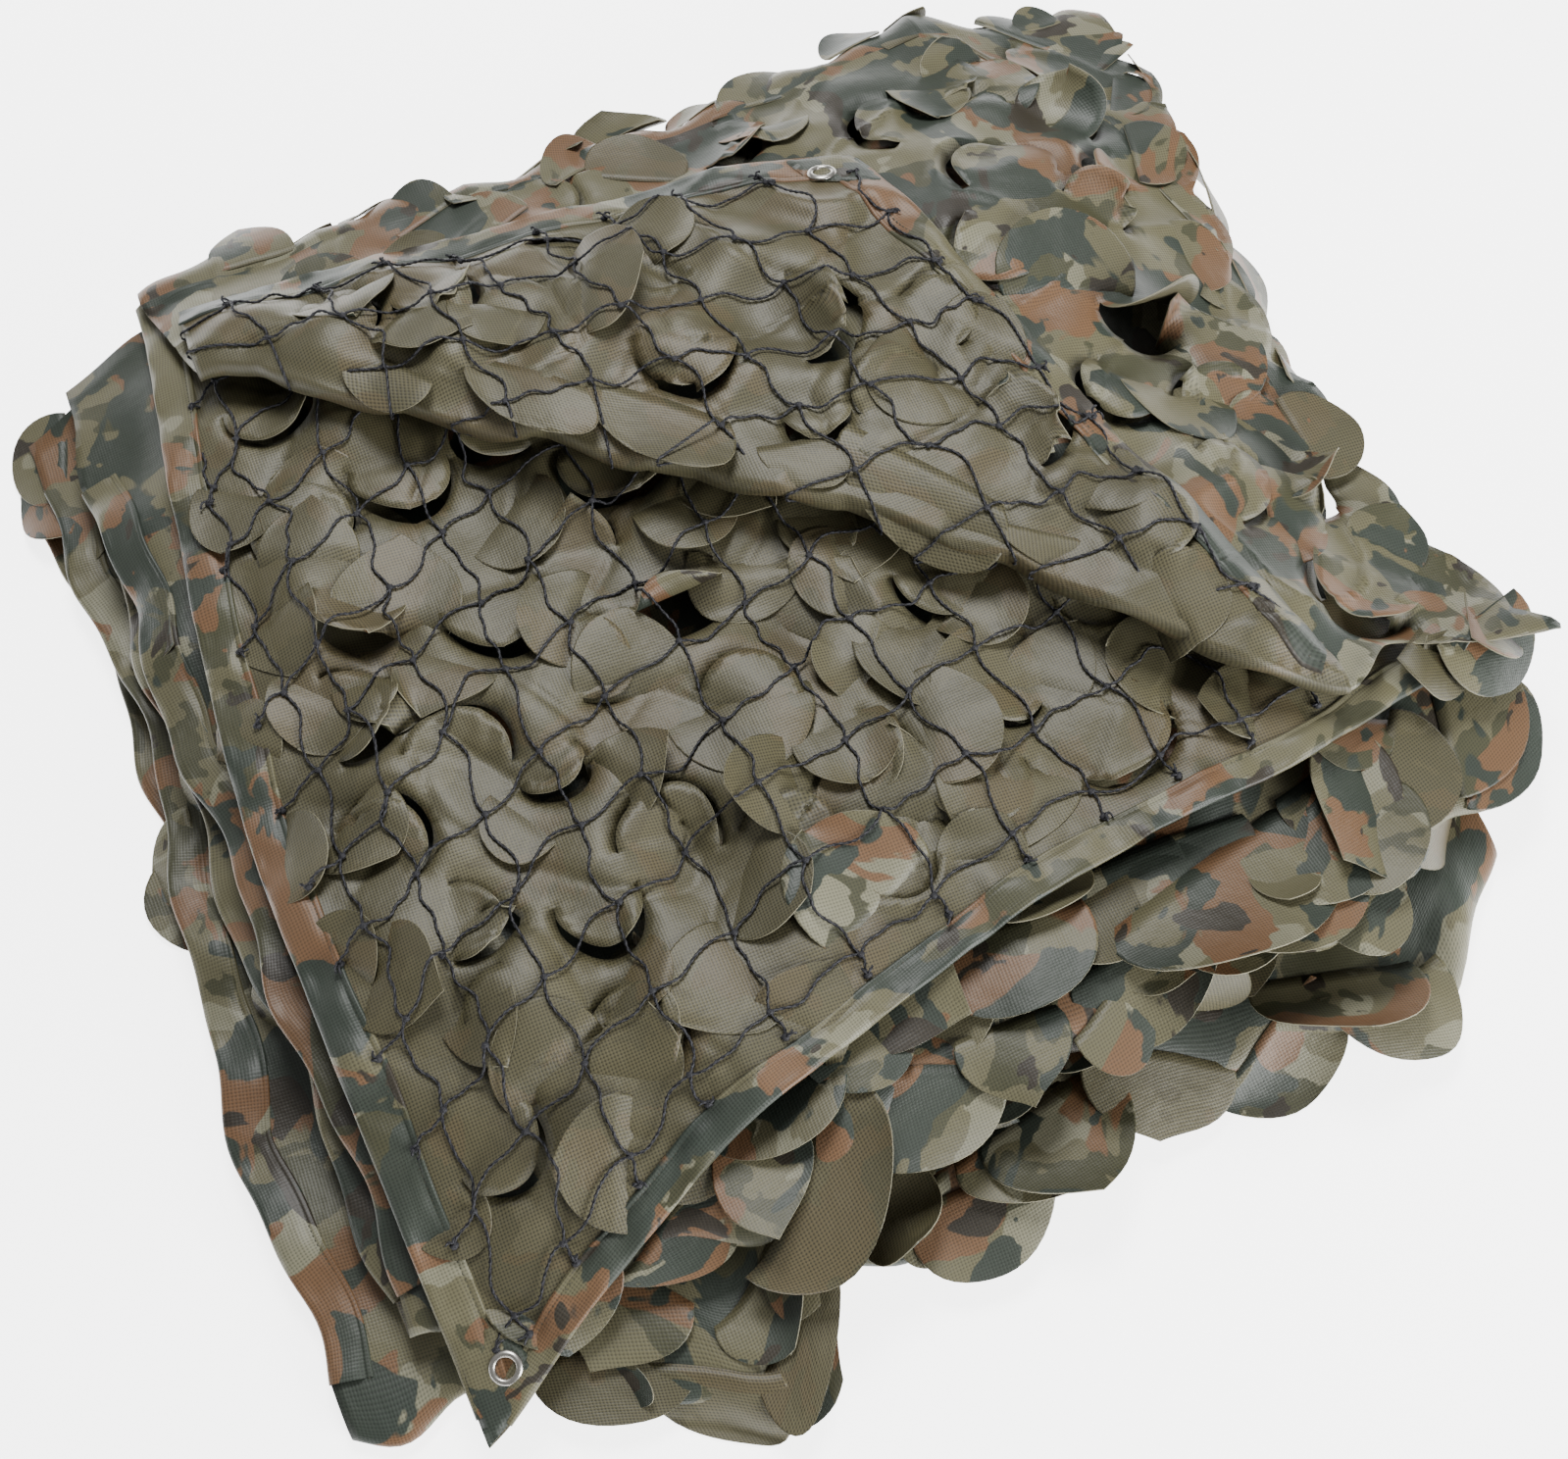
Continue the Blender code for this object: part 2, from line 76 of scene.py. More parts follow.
# Lines in plan measure (m): x and y of those that run across, y and x of those that run to the back
FRONT_HEM = (
    (-0.304, -0.332), (-0.228, -0.283), (-0.130, -0.236), (-0.027, -0.205), (0.076, -0.177),
    (0.171, -0.163), (0.267, -0.155), (0.376, -0.125), (0.430, -0.118),
)
CREST = (
    (-0.262, 0.352), (-0.183, 0.284), (-0.106, 0.224), (-0.006, 0.150), (0.093, 0.078),
    (0.138, 0.034), (0.242, -0.088), (0.306, -0.134), (0.376, -0.116), (0.465, -0.130),
)
FACE_LEFT = ((-0.332, -0.304), (-0.122, -0.313), (0.032, -0.322), (0.138, -0.316), (0.400, -0.290))
# How a leaf lies: tilt, bend, skew, slide, rise, free, droop, point
WAYS = {
    "flat": (0.04, 0.15, 0.10, 0.000, 0.0012, 0.0, 0.0, 0.0),
    "over": (0.06, 0.25, 0.20, 0.003, 0.0020, 0.0, 0.0, 0.0),
    "under": (0.02, 0.00, 0.10, 0.002, -0.0030, 0.0, 0.0, 0.0),
    "drawn": (0.10, -0.10, -0.20, -0.0045, 0.0020, 0.0, 0.0, 0.0),
    "point": (0.12, 0.35, 0.30, -0.002, 0.0020, 0.3, 0.0, 0.42),
    "open": (0.40, 1.35, 0.25, 0.000, 0.0, 1.0, 0.0, 0.0),
    "curled": (0.20, 0.60, -0.30, 0.000, 0.0, 0.8, 0.0, 0.0),
    "tipped": (0.06, 2.20, 0.60, 0.000, 0.0, 1.0, 0.0, 0.0),
}
FACE_LEAVES = (
    # x and y (mm), radius (mm), heading (degrees), how it lies
    (-166, 226, 31, -100, "drawn"), (-221, 226, 33, 125, "over"), (-194, 141, 32, 70, "under"),
    (-141, 117, 33, -90, "drawn"), (-81, 45, 32, 75, "over"), (-190, 35, 30, 65, "drawn"),
    (-144, 3, 31, -70, "drawn"), (-36, 85, 29, -75, "tipped"), (-41, 187, 32, -105, "drawn"),
    (-95, -60, 31, 75, "drawn"), (-29, -4, 36, -95, "over"), (25, -92, 37, 65, "under"),
    (89, -5, 38, -105, "over"), (99, -102, 36, -110, "over"), (171, -97, 34, -40, "drawn"),
    (76, 92, 31, -105, "over"), (-148, -91, 29, -95, "drawn"), (-203, -160, 30, 110, "over"),
    (-244, -189, 27, -60, "drawn"), (-186, -223, 29, 160, "under"), (-119, -207, 25, 75, "point"),
    (-94, -155, 30, -165, "over"), (-265, -152, 19, 70, "point"), (-221, -68, 23, -15, "point"),
    (-190, -62, 26, 60, "drawn"), (-262, 12, 27, -55, "over"), (-261, -252, 25, 10, "open"),
    (-269, 158, 28, -80, "over"), (-263, 245, 29, -125, "flat"), (-306, 89, 24, 45, "flat"),
    (116, -41, 31, 75, "flat"), (217, -68, 31, 145, "over"), (34, 36, 32, 40, "under"),
    (76, -59, 30, -10, "flat"), (-65, -190, 25, 40, "over"), (20, -43, 28, -85, "flat"),
    (-80, 140, 30, 80, "point"), (-11, 135, 30, -85, "over"), (-256, 96, 28, -135, "over"),
    (-270, -82, 25, -40, "over"), (-283, -212, 21, -80, "flat"), (65, -141, 23, 75, "flat"),
    (-148, -132, 22, -45, "over"), (-215, 93, 27, -100, "under"), (8, 83, 30, -110, "flat"),
    (-300, 10, 24, -20, "over"), (-292, -60, 24, 30, "over"), (-235, 190, 27, 70, "over"),
    (-180, 90, 26, -130, "over"), (-110, 170, 28, -60, "over"), (-100, 90, 28, 150, "over"),
    (-60, -110, 28, -40, "over"), (-110, -20, 26, 20, "over"), (-170, -20, 24, -150, "over"),
    (-230, -120, 24, -80, "over"), (-160, -180, 24, 60, "over"), (50, 0, 28, 120, "over"),
    (130, 10, 28, -60, "over"), (150, -50, 28, 40, "over"), (250, -110, 24, 160, "over"),
    (20, 150, 28, -60, "over"), (60, 60, 26, 160, "over"), (-30, -60, 28, 170, "over"),
    (-6, -131, 38, 115, "turned"),
)


def run_of(points, at):
    """Reads a line through points at one or many places, with its corners rounded."""
    xs, ys = np.array(points).T
    at = np.asarray(at, float)
    return sum(np.interp(at + step, xs, ys) for step in ROUNDING) / len(ROUNDING)


def run_along(line):
    """Distance run along a line at each of its points."""
    return np.concatenate(([0], np.cumsum(np.linalg.norm(np.diff(line, axis=0), axis=1))))


def at_run(line, run, at):
    """Points of a plan line at given distances along it."""
    return np.stack([np.interp(at, run, line[:, k]) for k in (0, 1)], -1)


def once_round(count):
    """Even angles once round."""
    return np.linspace(0, 2 * math.pi, count + 1)[:-1]


def unit(rows, least=0.0):
    """Rows made one long."""
    return rows / (np.linalg.norm(rows, axis=1) + least)[:, None]


def grid_faces(rows, columns):
    """Four-sided faces of a grid of points, row by row."""
    first = (np.arange(rows - 1)[:, None] * columns + np.arange(columns - 1)).ravel()
    return np.stack((first, first + 1, first + columns + 1, first + columns), 1)


def eased(share):
    """A soft step from 0 to 1."""
    share = np.clip(share, 0.0, 1.0)
    return share * share * (3 - 2 * share)


def pile_height(x, y):
    """Height of the pile, which falls off to its sides and its front left corner."""
    left = 1 - 0.10 * eased((-0.24 - x) / 0.07) - 0.30 * eased((-0.29 - x) / 0.11)
    right = 1 - 0.54 * eased((x - 0.24) / 0.20)
    back = 1 - 0.50 * eased((y - 0.27) / 0.22)
    front = 1 - 0.26 * eased((-0.17 - y) / 0.16)
    corner = 0.30 + 0.70 * eased((np.hypot(x + 0.315, y + 0.345) + 0.045) / 0.33)
    return PILE * left * right * back * front * corner


def fullness(x, y):
    """How much room the pile has for creases."""
    return np.minimum(1.0, pile_height(x, y) / THIN_PILE)


def layer_height(level, x, y):
    """Height of a stretch that lies at this level of the pile, with its slow waves and its leaves."""
    phase = 5.3 * level
    slow = np.sin(x / 0.047 + phase) * np.cos(y / 0.039 - 1.7 * phase)
    leaf = np.sin(x / 0.0172 + 2.1 * phase + 0.8) * np.sin(y / 0.0161 + 1.3 * phase)
    uneven = (0.024 * slow + 0.016 * leaf) * (0.45 + level)
    return SOLID_SHEET / 2 + FLOOR_GAP + pile_height(x, y) * (level + uneven)


def crumple(x, y, seed, longest, shortest):
    """Waves of many lengths and ways, from about -1 to 1."""
    draw = np.random.default_rng(seed)
    total = np.zeros(np.shape(x))
    for _ in range(WAVES):
        length = draw.uniform(shortest, longest)
        way = draw.uniform(0, math.pi)
        phase = draw.uniform(0, 2 * math.pi)
        across = x * math.cos(way) + y * math.sin(way)
        total += length / longest * np.sin(2 * math.pi * across / length + phase)
    return total / math.sqrt(WAVES / 2)


def creased(x, y, seed, longest, shortest):
    """Narrow soft ridges where two sets of waves cross, from 0 to 1."""
    return np.exp(-np.abs(crumple(x, y, seed, longest, shortest)) / 0.16)


def lying(node):
    """Middle of a flat node, in plan measure, and the way its face looks."""
    points = np.array([vert.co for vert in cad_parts[node].data.vertices])
    centre = points.mean(0)
    normal = np.linalg.svd(points - centre)[2][2]
    return centre + MIDDLE, normal * np.sign(normal[2])


def flattened(x, y, z, eyelet):
    """Levels the cloth around an eyelet."""
    centre, normal = eyelet
    x, y = x - centre[0], y - centre[1]
    level = centre[2] - EYELET_DROP - (normal[0] * x + normal[1] * y) / normal[2]
    share = 1 - eased((np.hypot(x, y) - EYELET_LEVEL) / 0.020)
    return z + (level - z) * share


eyelet_spots = {name: lying("eyelet_" + name) for name in ("front", "back")}


def face_place(points):
    """Puts plan points on the face: its waves, its creases and the level cloth round its eyelet."""
    x, y = points.T
    z = layer_height(FACE_LEVEL, x, y)
    room = fullness(x, y)
    edge = np.minimum(x - run_of(FACE_LEFT, y), y - run_of(FRONT_HEM, x))
    inner = eased((edge - 0.012) / 0.05)
    z = z + room * (0.25 + 0.75 * inner) * 0.0034 * crumple(x, y, 5, 0.125, 0.045)
    z = z - room * inner * 0.0026 * creased(x, y, 8, 0.17, 0.07)
    z = z + 0.0012 * (1 - inner) * crumple(x, y, 6, 0.05, 0.02)
    return np.stack((x, y, flattened(x, y, z, eyelet_spots["front"])), 1)


def outline_loop(sides, step):
    """A closed outline from several open lines, evenly stepped."""
    loop = []
    for side in sides:
        side = np.asarray(side, float)
        run = run_along(side)
        at = np.linspace(0, run[-1], max(1, round(run[-1] / step)) + 1)[:-1]
        loop.append(at_run(side, run, at))
    return np.concatenate(loop)


def inside(points, loop):
    """Which points lie inside a closed outline."""
    found = np.zeros(len(points), bool)
    for a, b in zip(loop, np.roll(loop, -1, axis=0)):
        crosses = (a[1] > points[:, 1]) != (b[1] > points[:, 1])
        rise = (points[:, 1] - a[1]) / (b[1] - a[1] if b[1] != a[1] else 1.0)
        found ^= crosses & (points[:, 0] < a[0] + rise * (b[0] - a[0]))
    return found


LEAF = np.dtype([(name, float) for name in (
    "x", "y", "size", "heading", "span", "tilt", "bend", "skew", "slide", "rise", "free", "droop",
    "point",
)])


def leaf_radius(leaf, angle):
    """A leaf isn't quite round, and a pointed one has a corner ahead."""
    wobble = 1 + 0.05 * np.sin(2 * angle + 40 * leaf["x"])
    wobble = wobble + 0.03 * np.sin(3 * angle + 60 * leaf["y"])
    return leaf["size"] * wobble * (1 + leaf["point"] * np.exp(-np.abs(angle) / 0.30))


def leaf_local(leaf, points):
    """Distance from a leaf's middle, angle from its heading, and places along and beside the heading."""
    away = points - (leaf["x"], leaf["y"])
    ahead = away[:, 0] * math.cos(leaf["heading"]) + away[:, 1] * math.sin(leaf["heading"])
    beside = -away[:, 0] * math.sin(leaf["heading"]) + away[:, 1] * math.cos(leaf["heading"])
    return np.hypot(ahead, beside), np.arctan2(beside, ahead), ahead, beside


def hinge_of(leaf):
    """Distance from a leaf's middle to the line that it hangs by."""
    return leaf["size"] * math.cos(leaf["span"] / 2)


def cut_line(leaf):
    """The knife's line round a leaf, from one end of its hinge to the other."""
    half = leaf["span"] / 2
    angles = np.linspace(-half, half, max(10, round(leaf["span"] * leaf["size"] / KNIFE_STEP)))
    radius = leaf_radius(leaf, angles)
    turn = angles + leaf["heading"]
    return np.stack((leaf["x"] + radius * np.cos(turn), leaf["y"] + radius * np.sin(turn)), 1)


def leaves_from(table, seed):
    """Leaves by name of how they lie, each a little different."""
    draw = np.random.default_rng(seed)
    found = []
    for x, y, radius, heading, way in table:
        tilt, bend, skew, slide, rise, free, droop, point = WAYS[way]
        vary = draw.uniform(0.6, 1.4, 4)
        side = draw.choice((-1, 1))
        span = draw.uniform(3.5, 4.3)
        found.append((
            x / 1000, y / 1000, radius / 1000, math.radians(heading), span, tilt * vary[0],
            bend * vary[1], skew * vary[2] * side, slide * vary[3], rise, free, droop, point,
        ))
    return np.array(found, LEAF)


def filled_in(leaves, loop, margin, seed):
    """Adds leaves wherever there is room for one, and keeps all of them inside the outline and apart."""
    draw = np.random.default_rng(seed)
    low, high = loop.min(0), loop.max(0)
    kept = []
    for leaf in leaves:
        spot = np.array((leaf["x"], leaf["y"]))
        room = (np.linalg.norm(loop - spot, axis=1).min() - margin) / (1 + leaf["point"])
        for other in kept:
            gap = np.hypot(*(spot - (other["x"], other["y"])))
            room = min(room, gap - other["size"] * LEAF_ROOM - LEAF_GAP)
        leaf["size"] = min(leaf["size"], room / LEAF_ROOM)
        if leaf["size"] > LEAST_LEAF and inside(spot[None], loop)[0]:
            kept.append(leaf)
    for _ in range(FILL_TRIES):
        spot = draw.uniform(low, high)
        size = draw.uniform(*FILL_SIZES)
        heading = draw.uniform(-180, 180)
        way = FILL_WAYS[draw.integers(len(FILL_WAYS))]
        if not inside(spot[None], loop)[0]:
            continue
        room = np.linalg.norm(loop - spot, axis=1).min() - margin
        for other in kept:
            gap = np.hypot(*(spot - (other["x"], other["y"])))
            room = min(room, gap - other["size"] * (LEAF_ROOM + other["point"] * 0.6) - LEAF_GAP)
        size = min(size, room / LEAF_ROOM)
        if size > FILL_SIZES[0] * 0.94:
            row = (1000 * spot[0], 1000 * spot[1], 1000 * size, heading, way)
            kept.append(leaves_from([row], draw.integers(9999))[0])
    return np.array(kept, LEAF)


def cut_sheet(loop, leaves, step, holes=()):
    """A sheet cut to an outline and round each leaf: points, triangles and each point's leaf."""
    low, high = loop.min(0), loop.max(0)
    turns = once_round(20)
    circle = EYELET_HOLE * np.stack((np.cos(turns), np.sin(turns)), 1)
    knives = [(loop, True)] + [(cut_line(leaf), False) for leaf in leaves]
    knives += [(np.asarray(hole) + circle, True) for hole in holes]
    fixed = np.concatenate([line for line, _ in knives])
    edges, arc_of, start = [], {}, 0
    for number, (line, closed) in enumerate(knives, -1):
        count = len(line)
        edges += [(start + i, start + (i + 1) % count) for i in range(count if closed else count - 1)]
        if not closed:
            arc_of.update({start + i: number for i in range(1, count - 1)})
        start += count
    grid = []
    for k, y in enumerate(np.arange(low[1], high[1], step * 0.87)):
        xs = np.arange(low[0] + step * 0.5 * (k % 2), high[0], step)
        grid.append(np.stack((xs, np.full_like(xs, y)), 1))
    grid = np.concatenate(grid)
    cell = step * 0.62
    taken = set()
    for i, j in np.floor(fixed / cell).astype(int).tolist():
        taken.update((i + a, j + b) for a in (-1, 0, 1) for b in (-1, 0, 1))
    grid = grid[np.array([(i, j) not in taken for i, j in np.floor(grid / cell).astype(int).tolist()])]
    grid = grid[inside(grid, loop)]
    for hole in holes:
        grid = grid[np.linalg.norm(grid - hole, axis=1) > EYELET_HOLE]
    points = np.concatenate((fixed, grid))
    coords, _, faces, sources, _, _ = delaunay_2d_cdt([Vector(p) for p in points], edges, [], 0, 1e-7)
    coords = np.array([tuple(p) for p in coords])
    faces = np.array(faces)
    middles = coords[faces].mean(1)
    keep = inside(middles, loop)
    for hole in holes:
        keep &= np.linalg.norm(middles - hole, axis=1) > EYELET_HOLE
    faces, middles = faces[keep], middles[keep]
    face_leaf = np.full(len(faces), -1)
    for number, leaf in enumerate(leaves):
        distance, angle, ahead, _ = leaf_local(leaf, middles)
        face_leaf[(distance < leaf_radius(leaf, angle)) & (ahead > hinge_of(leaf))] = number
    point_leaf = np.full(len(coords), -1)
    used = {}
    extra, extra_leaf = [], []
    on_arc = {k: arc_of[s] for k, source in enumerate(sources) for s in source if s in arc_of}
    for f in np.nonzero(face_leaf >= 0)[0]:
        for corner in range(3):
            k = int(faces[f, corner])
            if on_arc.get(k) == face_leaf[f]:
                if k not in used:
                    used[k] = len(coords) + len(extra)
                    extra.append(coords[k])
                    extra_leaf.append(face_leaf[f])
                faces[f, corner] = used[k]
            elif k < len(coords) and k not in on_arc:
                point_leaf[k] = face_leaf[f]
    if extra:
        coords = np.concatenate((coords, extra))
        point_leaf = np.concatenate((point_leaf, extra_leaf))
    for number, leaf in enumerate(leaves):
        ahead = leaf_local(leaf, coords)[2]
        point_leaf[(point_leaf == number) & (ahead <= hinge_of(leaf))] = -1
    return coords, faces, point_leaf


def normals_of(place, points):
    """The cloth's face direction at many points."""
    reach = 0.002
    over_x = place(points + (reach, 0)) - place(points - (reach, 0))
    over_y = place(points + (0, reach)) - place(points - (0, reach))
    return unit(np.cross(over_x, over_y))


def bent_out(out, tilt, rate):
    """How far a strip that starts with a tilt and bends evenly comes forward and rises."""
    rate = np.where(np.abs(rate) < 1e-3, 1e-3, rate)
    turn = tilt + rate * out
    return (np.sin(turn) - math.sin(tilt)) / rate, (math.cos(tilt) - np.cos(turn)) / rate


def held_down(z):
    """Flattens what stands higher than the netting lets it."""
    return np.where(z > NET_LEVEL, NET_LEVEL + 0.45 * (z - NET_LEVEL), z)


def lifted(place, coords, point_leaf, leaves, sag):
    """Puts a sheet in its place, and its leaves over it: tilted, bent, slid and drooping."""
    spots = place(coords)
    normal = normals_of(place, coords)
    around = np.zeros(len(coords))
    for number, leaf in enumerate(leaves):
        distance, angle, ahead, beside = leaf_local(leaf, coords)
        mine = point_leaf == number
        rim = distance - leaf_radius(leaf, angle)
        near = (point_leaf < 0) & (rim > -0.001) & (rim < 0.014) & (ahead > hinge_of(leaf))
        dip = sag if leaf["rise"] >= 0 else -0.0012
        around[near] += dip * (1 - np.maximum(rim[near], 0) / 0.014) ** 2
        heading = np.array((math.cos(leaf["heading"]), math.sin(leaf["heading"])))
        across = np.array((-heading[1], heading[0]))
        hinge = (leaf["x"], leaf["y"]) + hinge_of(leaf) * heading + np.outer(beside[mine], across)
        length = leaf["size"] - hinge_of(leaf)
        out = np.maximum(ahead[mine] - hinge_of(leaf), 0)
        rate = (leaf["bend"] + leaf["skew"] * beside[mine] / leaf["size"]) / length
        forward, rise = bent_out(out, leaf["tilt"], rate)
        root = place(hinge)
        ahead_3d = unit(place(hinge + heading * PROBE) - root)
        rigid = root + ahead_3d * forward[:, None] + normals_of(place, hinge) * rise[:, None]
        start = eased(out / 0.012)
        clear = leaf["rise"] * start + (np.maximum(rise, 0) if leaf["rise"] >= 0 else 0)
        resting = spots[mine] + normal[mine] * clear[:, None]
        resting += ahead_3d * (leaf["slide"] * eased(out / length) - (out - forward))[:, None]
        moved = resting * (1 - leaf["free"]) + rigid * leaf["free"]
        moved[:, 2] -= leaf["droop"] * (out / length) ** 2
        spots[mine] = moved
    spots -= normal * around[:, None]
    spots[:, 2] = held_down(np.maximum(spots[:, 2], LEAST_HEIGHT))
    return spots


def joined(pieces):
    """Several meshes of points, faces, flat places and kinds as one."""
    points, faces, flats, kinds, start = [], [], [], [], 0
    for piece_points, piece_faces, piece_flat, kind in pieces:
        points.append(piece_points)
        faces += (np.asarray(piece_faces) + start).tolist()
        flats.append(piece_flat)
        kinds += list(kind) if np.ndim(kind) else [kind] * len(piece_faces)
        start += len(piece_points)
    return np.concatenate(points), faces, np.concatenate(flats), kinds


def placed(name, data):
    """An object of the scene."""
    obj = bpy.data.objects.new(name, data)
    bpy.context.scene.collection.objects.link(obj)
    return obj


def net_piece(name, pieces, materials, replaced=("net_cloth",), sewn=False):
    """A piece of the net from meshes of thin cloth, whose flat places become its pattern coordinates.

    It rides on the pile, takes its materials and hides the plain solids that it takes the place of.
    """
    points, faces, flat, kinds = joined(pieces)
    data = bpy.data.meshes.new(name)
    data.from_pydata((points - MIDDLE).tolist(), [], faces)
    layer = data.uv_layers.new(name="cut")
    loops = np.empty(len(data.loops), np.int32)
    data.loops.foreach_get("vertex_index", loops)
    layer.data.foreach_set("uv", flat[loops].astype(np.float32).ravel())
    data.polygons.foreach_set("material_index", np.asarray(kinds, np.int32))
    if sewn:
        work = bmesh.new()
        work.from_mesh(data)
        bmesh.ops.remove_doubles(work, verts=work.verts[:], dist=0.0001)
        work.to_mesh(data)
        work.free()
    data.shade_smooth()
    obj = placed(name, data)
    for material in materials:
        data.materials.append(material)
    if len(materials) > 1:
        thick = obj.modifiers.new("Thickness", "SOLIDIFY")
        thick.thickness = CLOTH
        thick.offset = 0
        thick.material_offset = 1
        thick.material_offset_rim = 2
    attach(obj, "root")
    if replaced:
        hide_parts(*replaced)
    return obj


def cloth_bed(*pieces):
    """A search tree of cloth that something lies on."""
    points, faces, start = [], [], 0
    for piece in pieces:
        points.append(piece[0])
        faces += [tuple(int(c) + start for c in face) for face in piece[1]]
        start += len(piece[0])
    return BVHTree.FromPolygons(np.concatenate(points).tolist(), faces)


def bed_height(beds, points, missing):
    """Height of the highest cloth under each point."""
    found = []
    for (x, y), low in zip(points, missing):
        spots = [bed.ray_cast(Vector((x, y, 0.30)), Vector((0, 0, -1)))[0] for bed in beds]
        found.append(max([low] + [spot.z for spot in spots if spot is not None]))
    return np.array(found)


def smoothed_up(clear, rows, columns):
    """Lifts neighbours of high places, so that what lies over them stays smooth."""
    clear = clear.reshape(rows, columns)
    for _ in range(5):
        wide = np.pad(clear, 1, "edge")
        mean = sum(wide[a:a + rows, b:b + columns] for a in range(3) for b in range(3)) / 9
        clear = np.maximum(clear, mean)
    return mean.ravel() * 0.7 + clear.ravel() * 0.3


def hanging_leaf(place, spot, heading, size, tilt, bend, droop, draw, beds=(), point=0.0, wide=1.0):
    """A leaf free but for its hinge, as a piece of mesh. With beds, it lies over them."""
    span = draw.uniform(3.6, 4.3)
    hinge = size * math.cos(span / 2)
    rows, columns = 12, 13
    ahead = hinge + (size * 0.9995 - hinge) * np.sin(np.linspace(0, 1, rows) * math.pi / 2)
    half = np.sqrt(np.maximum(size * size - ahead * ahead, 1e-9)) * wide
    wobble = 1 + 0.07 * math.sin(30 * spot[0]) * np.sin(np.linspace(0, 3, rows) + draw.uniform(0, 6))
    beside = np.outer(half * wobble, np.sin(np.linspace(-1, 1, columns) * math.pi / 2)).ravel()
    ahead = np.repeat(ahead, columns)
    share = (ahead - hinge) / (size - hinge)
    ahead = ahead + point * size * np.exp(-np.abs(beside) / (0.35 * size)) * eased(share)
    ahead = ahead + draw.normal(0, 0.12) * beside * eased(share)
    way = np.array((math.cos(heading), math.sin(heading)))
    sideways = np.array((-way[1], way[0]))
    flat = np.asarray(spot) + np.outer(ahead, way) + np.outer(beside, sideways)
    root = place(np.asarray(spot) + hinge * way + np.outer(beside, sideways))
    centre = np.array([np.asarray(spot) + hinge * way])
    slope = (place(centre + sideways * PROBE) - place(centre)) / PROBE
    root = root * 0.4 + (place(centre) + slope * beside[:, None]) * 0.6
    forward = place(centre + way * PROBE) - place(centre)
    forward /= np.linalg.norm(forward)
    up = normals_of(place, centre)
    length = size - hinge
    out = ahead - hinge
    rate = (bend + draw.normal(0, 0.25) * beside / size) / length
    run, rise = bent_out(out, tilt, rate)
    ripple = 0.0016 * np.sin(beside / size * draw.uniform(2, 4) + draw.uniform(0, 6)) * (out / length)
    points = root + forward * run[:, None] + up * (rise + 0.0010 + ripple)[:, None]
    points[:, 2] -= droop * (out / length) ** 2
    if beds:
        under = bed_height(beds, points[:, :2], points[:, 2] - 0.02)
        sunk = 1 - eased(out / 0.014)
        clear = np.maximum(under + 0.0012 - points[:, 2], 0) * (1 - sunk)
        points[:, 2] += smoothed_up(clear, rows, columns)
        points[:, 2] += (np.minimum(under - 0.0026, points[:, 2]) - points[:, 2]) * sunk
    points[:, 2] = held_down(np.maximum(points[:, 2], 0.0009))
    return points, grid_faces(rows, columns)[:, ::-1], flat + draw.uniform(-2, 2, 2), 0


def turned_over(leaf, turned):
    """A leaf with its other face up, or as it was."""
    points, faces, flat, kind = leaf
    return points, faces[:, ::-1] if turned else faces, flat, kind


def laid_leaves(place, table, cloth, seed):
    """A table's uncut leaves, which lie on the cloth and on each other, and all that they lie on."""
    draw = np.random.default_rng(seed)
    made = []
    beds = [cloth_bed(cloth)]
    for x, y, radius, heading, way in table:
        if way in CUT_WAYS:
            continue
        tilt = {"over": 0.09, "turned": 0.01}.get(way, 0.04)
        leaf = hanging_leaf(
            place, (x / 1000, y / 1000), math.radians(heading), LAID_GROWTH * radius / 1000,
            tilt * draw.uniform(0.6, 1.5), draw.normal(0.02, 0.10), 0.0, draw, beds=beds,
            point=draw.choice((0.0, 0.0, 0.12, 0.3)) * (way != "turned"), wide=draw.uniform(0.85, 1.1),
        )
        made.append(turned_over(leaf, way == "turned"))
        beds.append(cloth_bed(leaf))
    return made, beds


def cut_stretch(place, table, loop, room, step, seed, margin, sag, eyelet=None, clear=0.0, tip=1.0):
    """A stretch of cloth with its leaves cut and lifted, none of them close to its eyelet."""
    leaves = leaves_from([row for row in table if row[4] in CUT_WAYS], seed)
    leaves = filled_in(leaves, room, margin, seed + 1)
    holes = []
    if eyelet is not None:
        holes = [eyelet[:2]]
        leaves = leaves[np.hypot(*(np.stack((leaves["x"], leaves["y"])) - eyelet[:2, None])) > clear]
    flat, faces, leaf_of = cut_sheet(loop, leaves, step, holes)
    leaves["tilt"] *= tip
    return lifted(place, flat, leaf_of, leaves, sag), faces, flat, 0


def shader_group(name, output, kind):
    """A shader group with a flat place going in and one output."""
    group = bpy.data.node_groups.new(name, "ShaderNodeTree")
    group.interface.new_socket(name="Flat place", in_out="INPUT", socket_type="NodeSocketVector")
    group.interface.new_socket(name=output, in_out="OUTPUT", socket_type=kind)
    place = group.nodes.new("NodeGroupInput").outputs[0]
    return group, place, group.nodes.new("NodeGroupOutput").inputs[0]


def add_node(tree, kind, values=(), **settings):
    """A shader node with its settings and the values of its inputs."""
    node = tree.nodes.new(kind)
    for key, value in settings.items():
        setattr(node, key, value)
    for key, value in dict(values).items():
        node.inputs[key].default_value = value
    return node


def noise(tree, place, values, **settings):
    """A noise texture's grey, at a place where one is given."""
    node = add_node(tree, "ShaderNodeTexNoise", values, **settings)
    if place is not None:
        tree.links.new(place, node.inputs["Vector"])
    return node.outputs["Fac"]


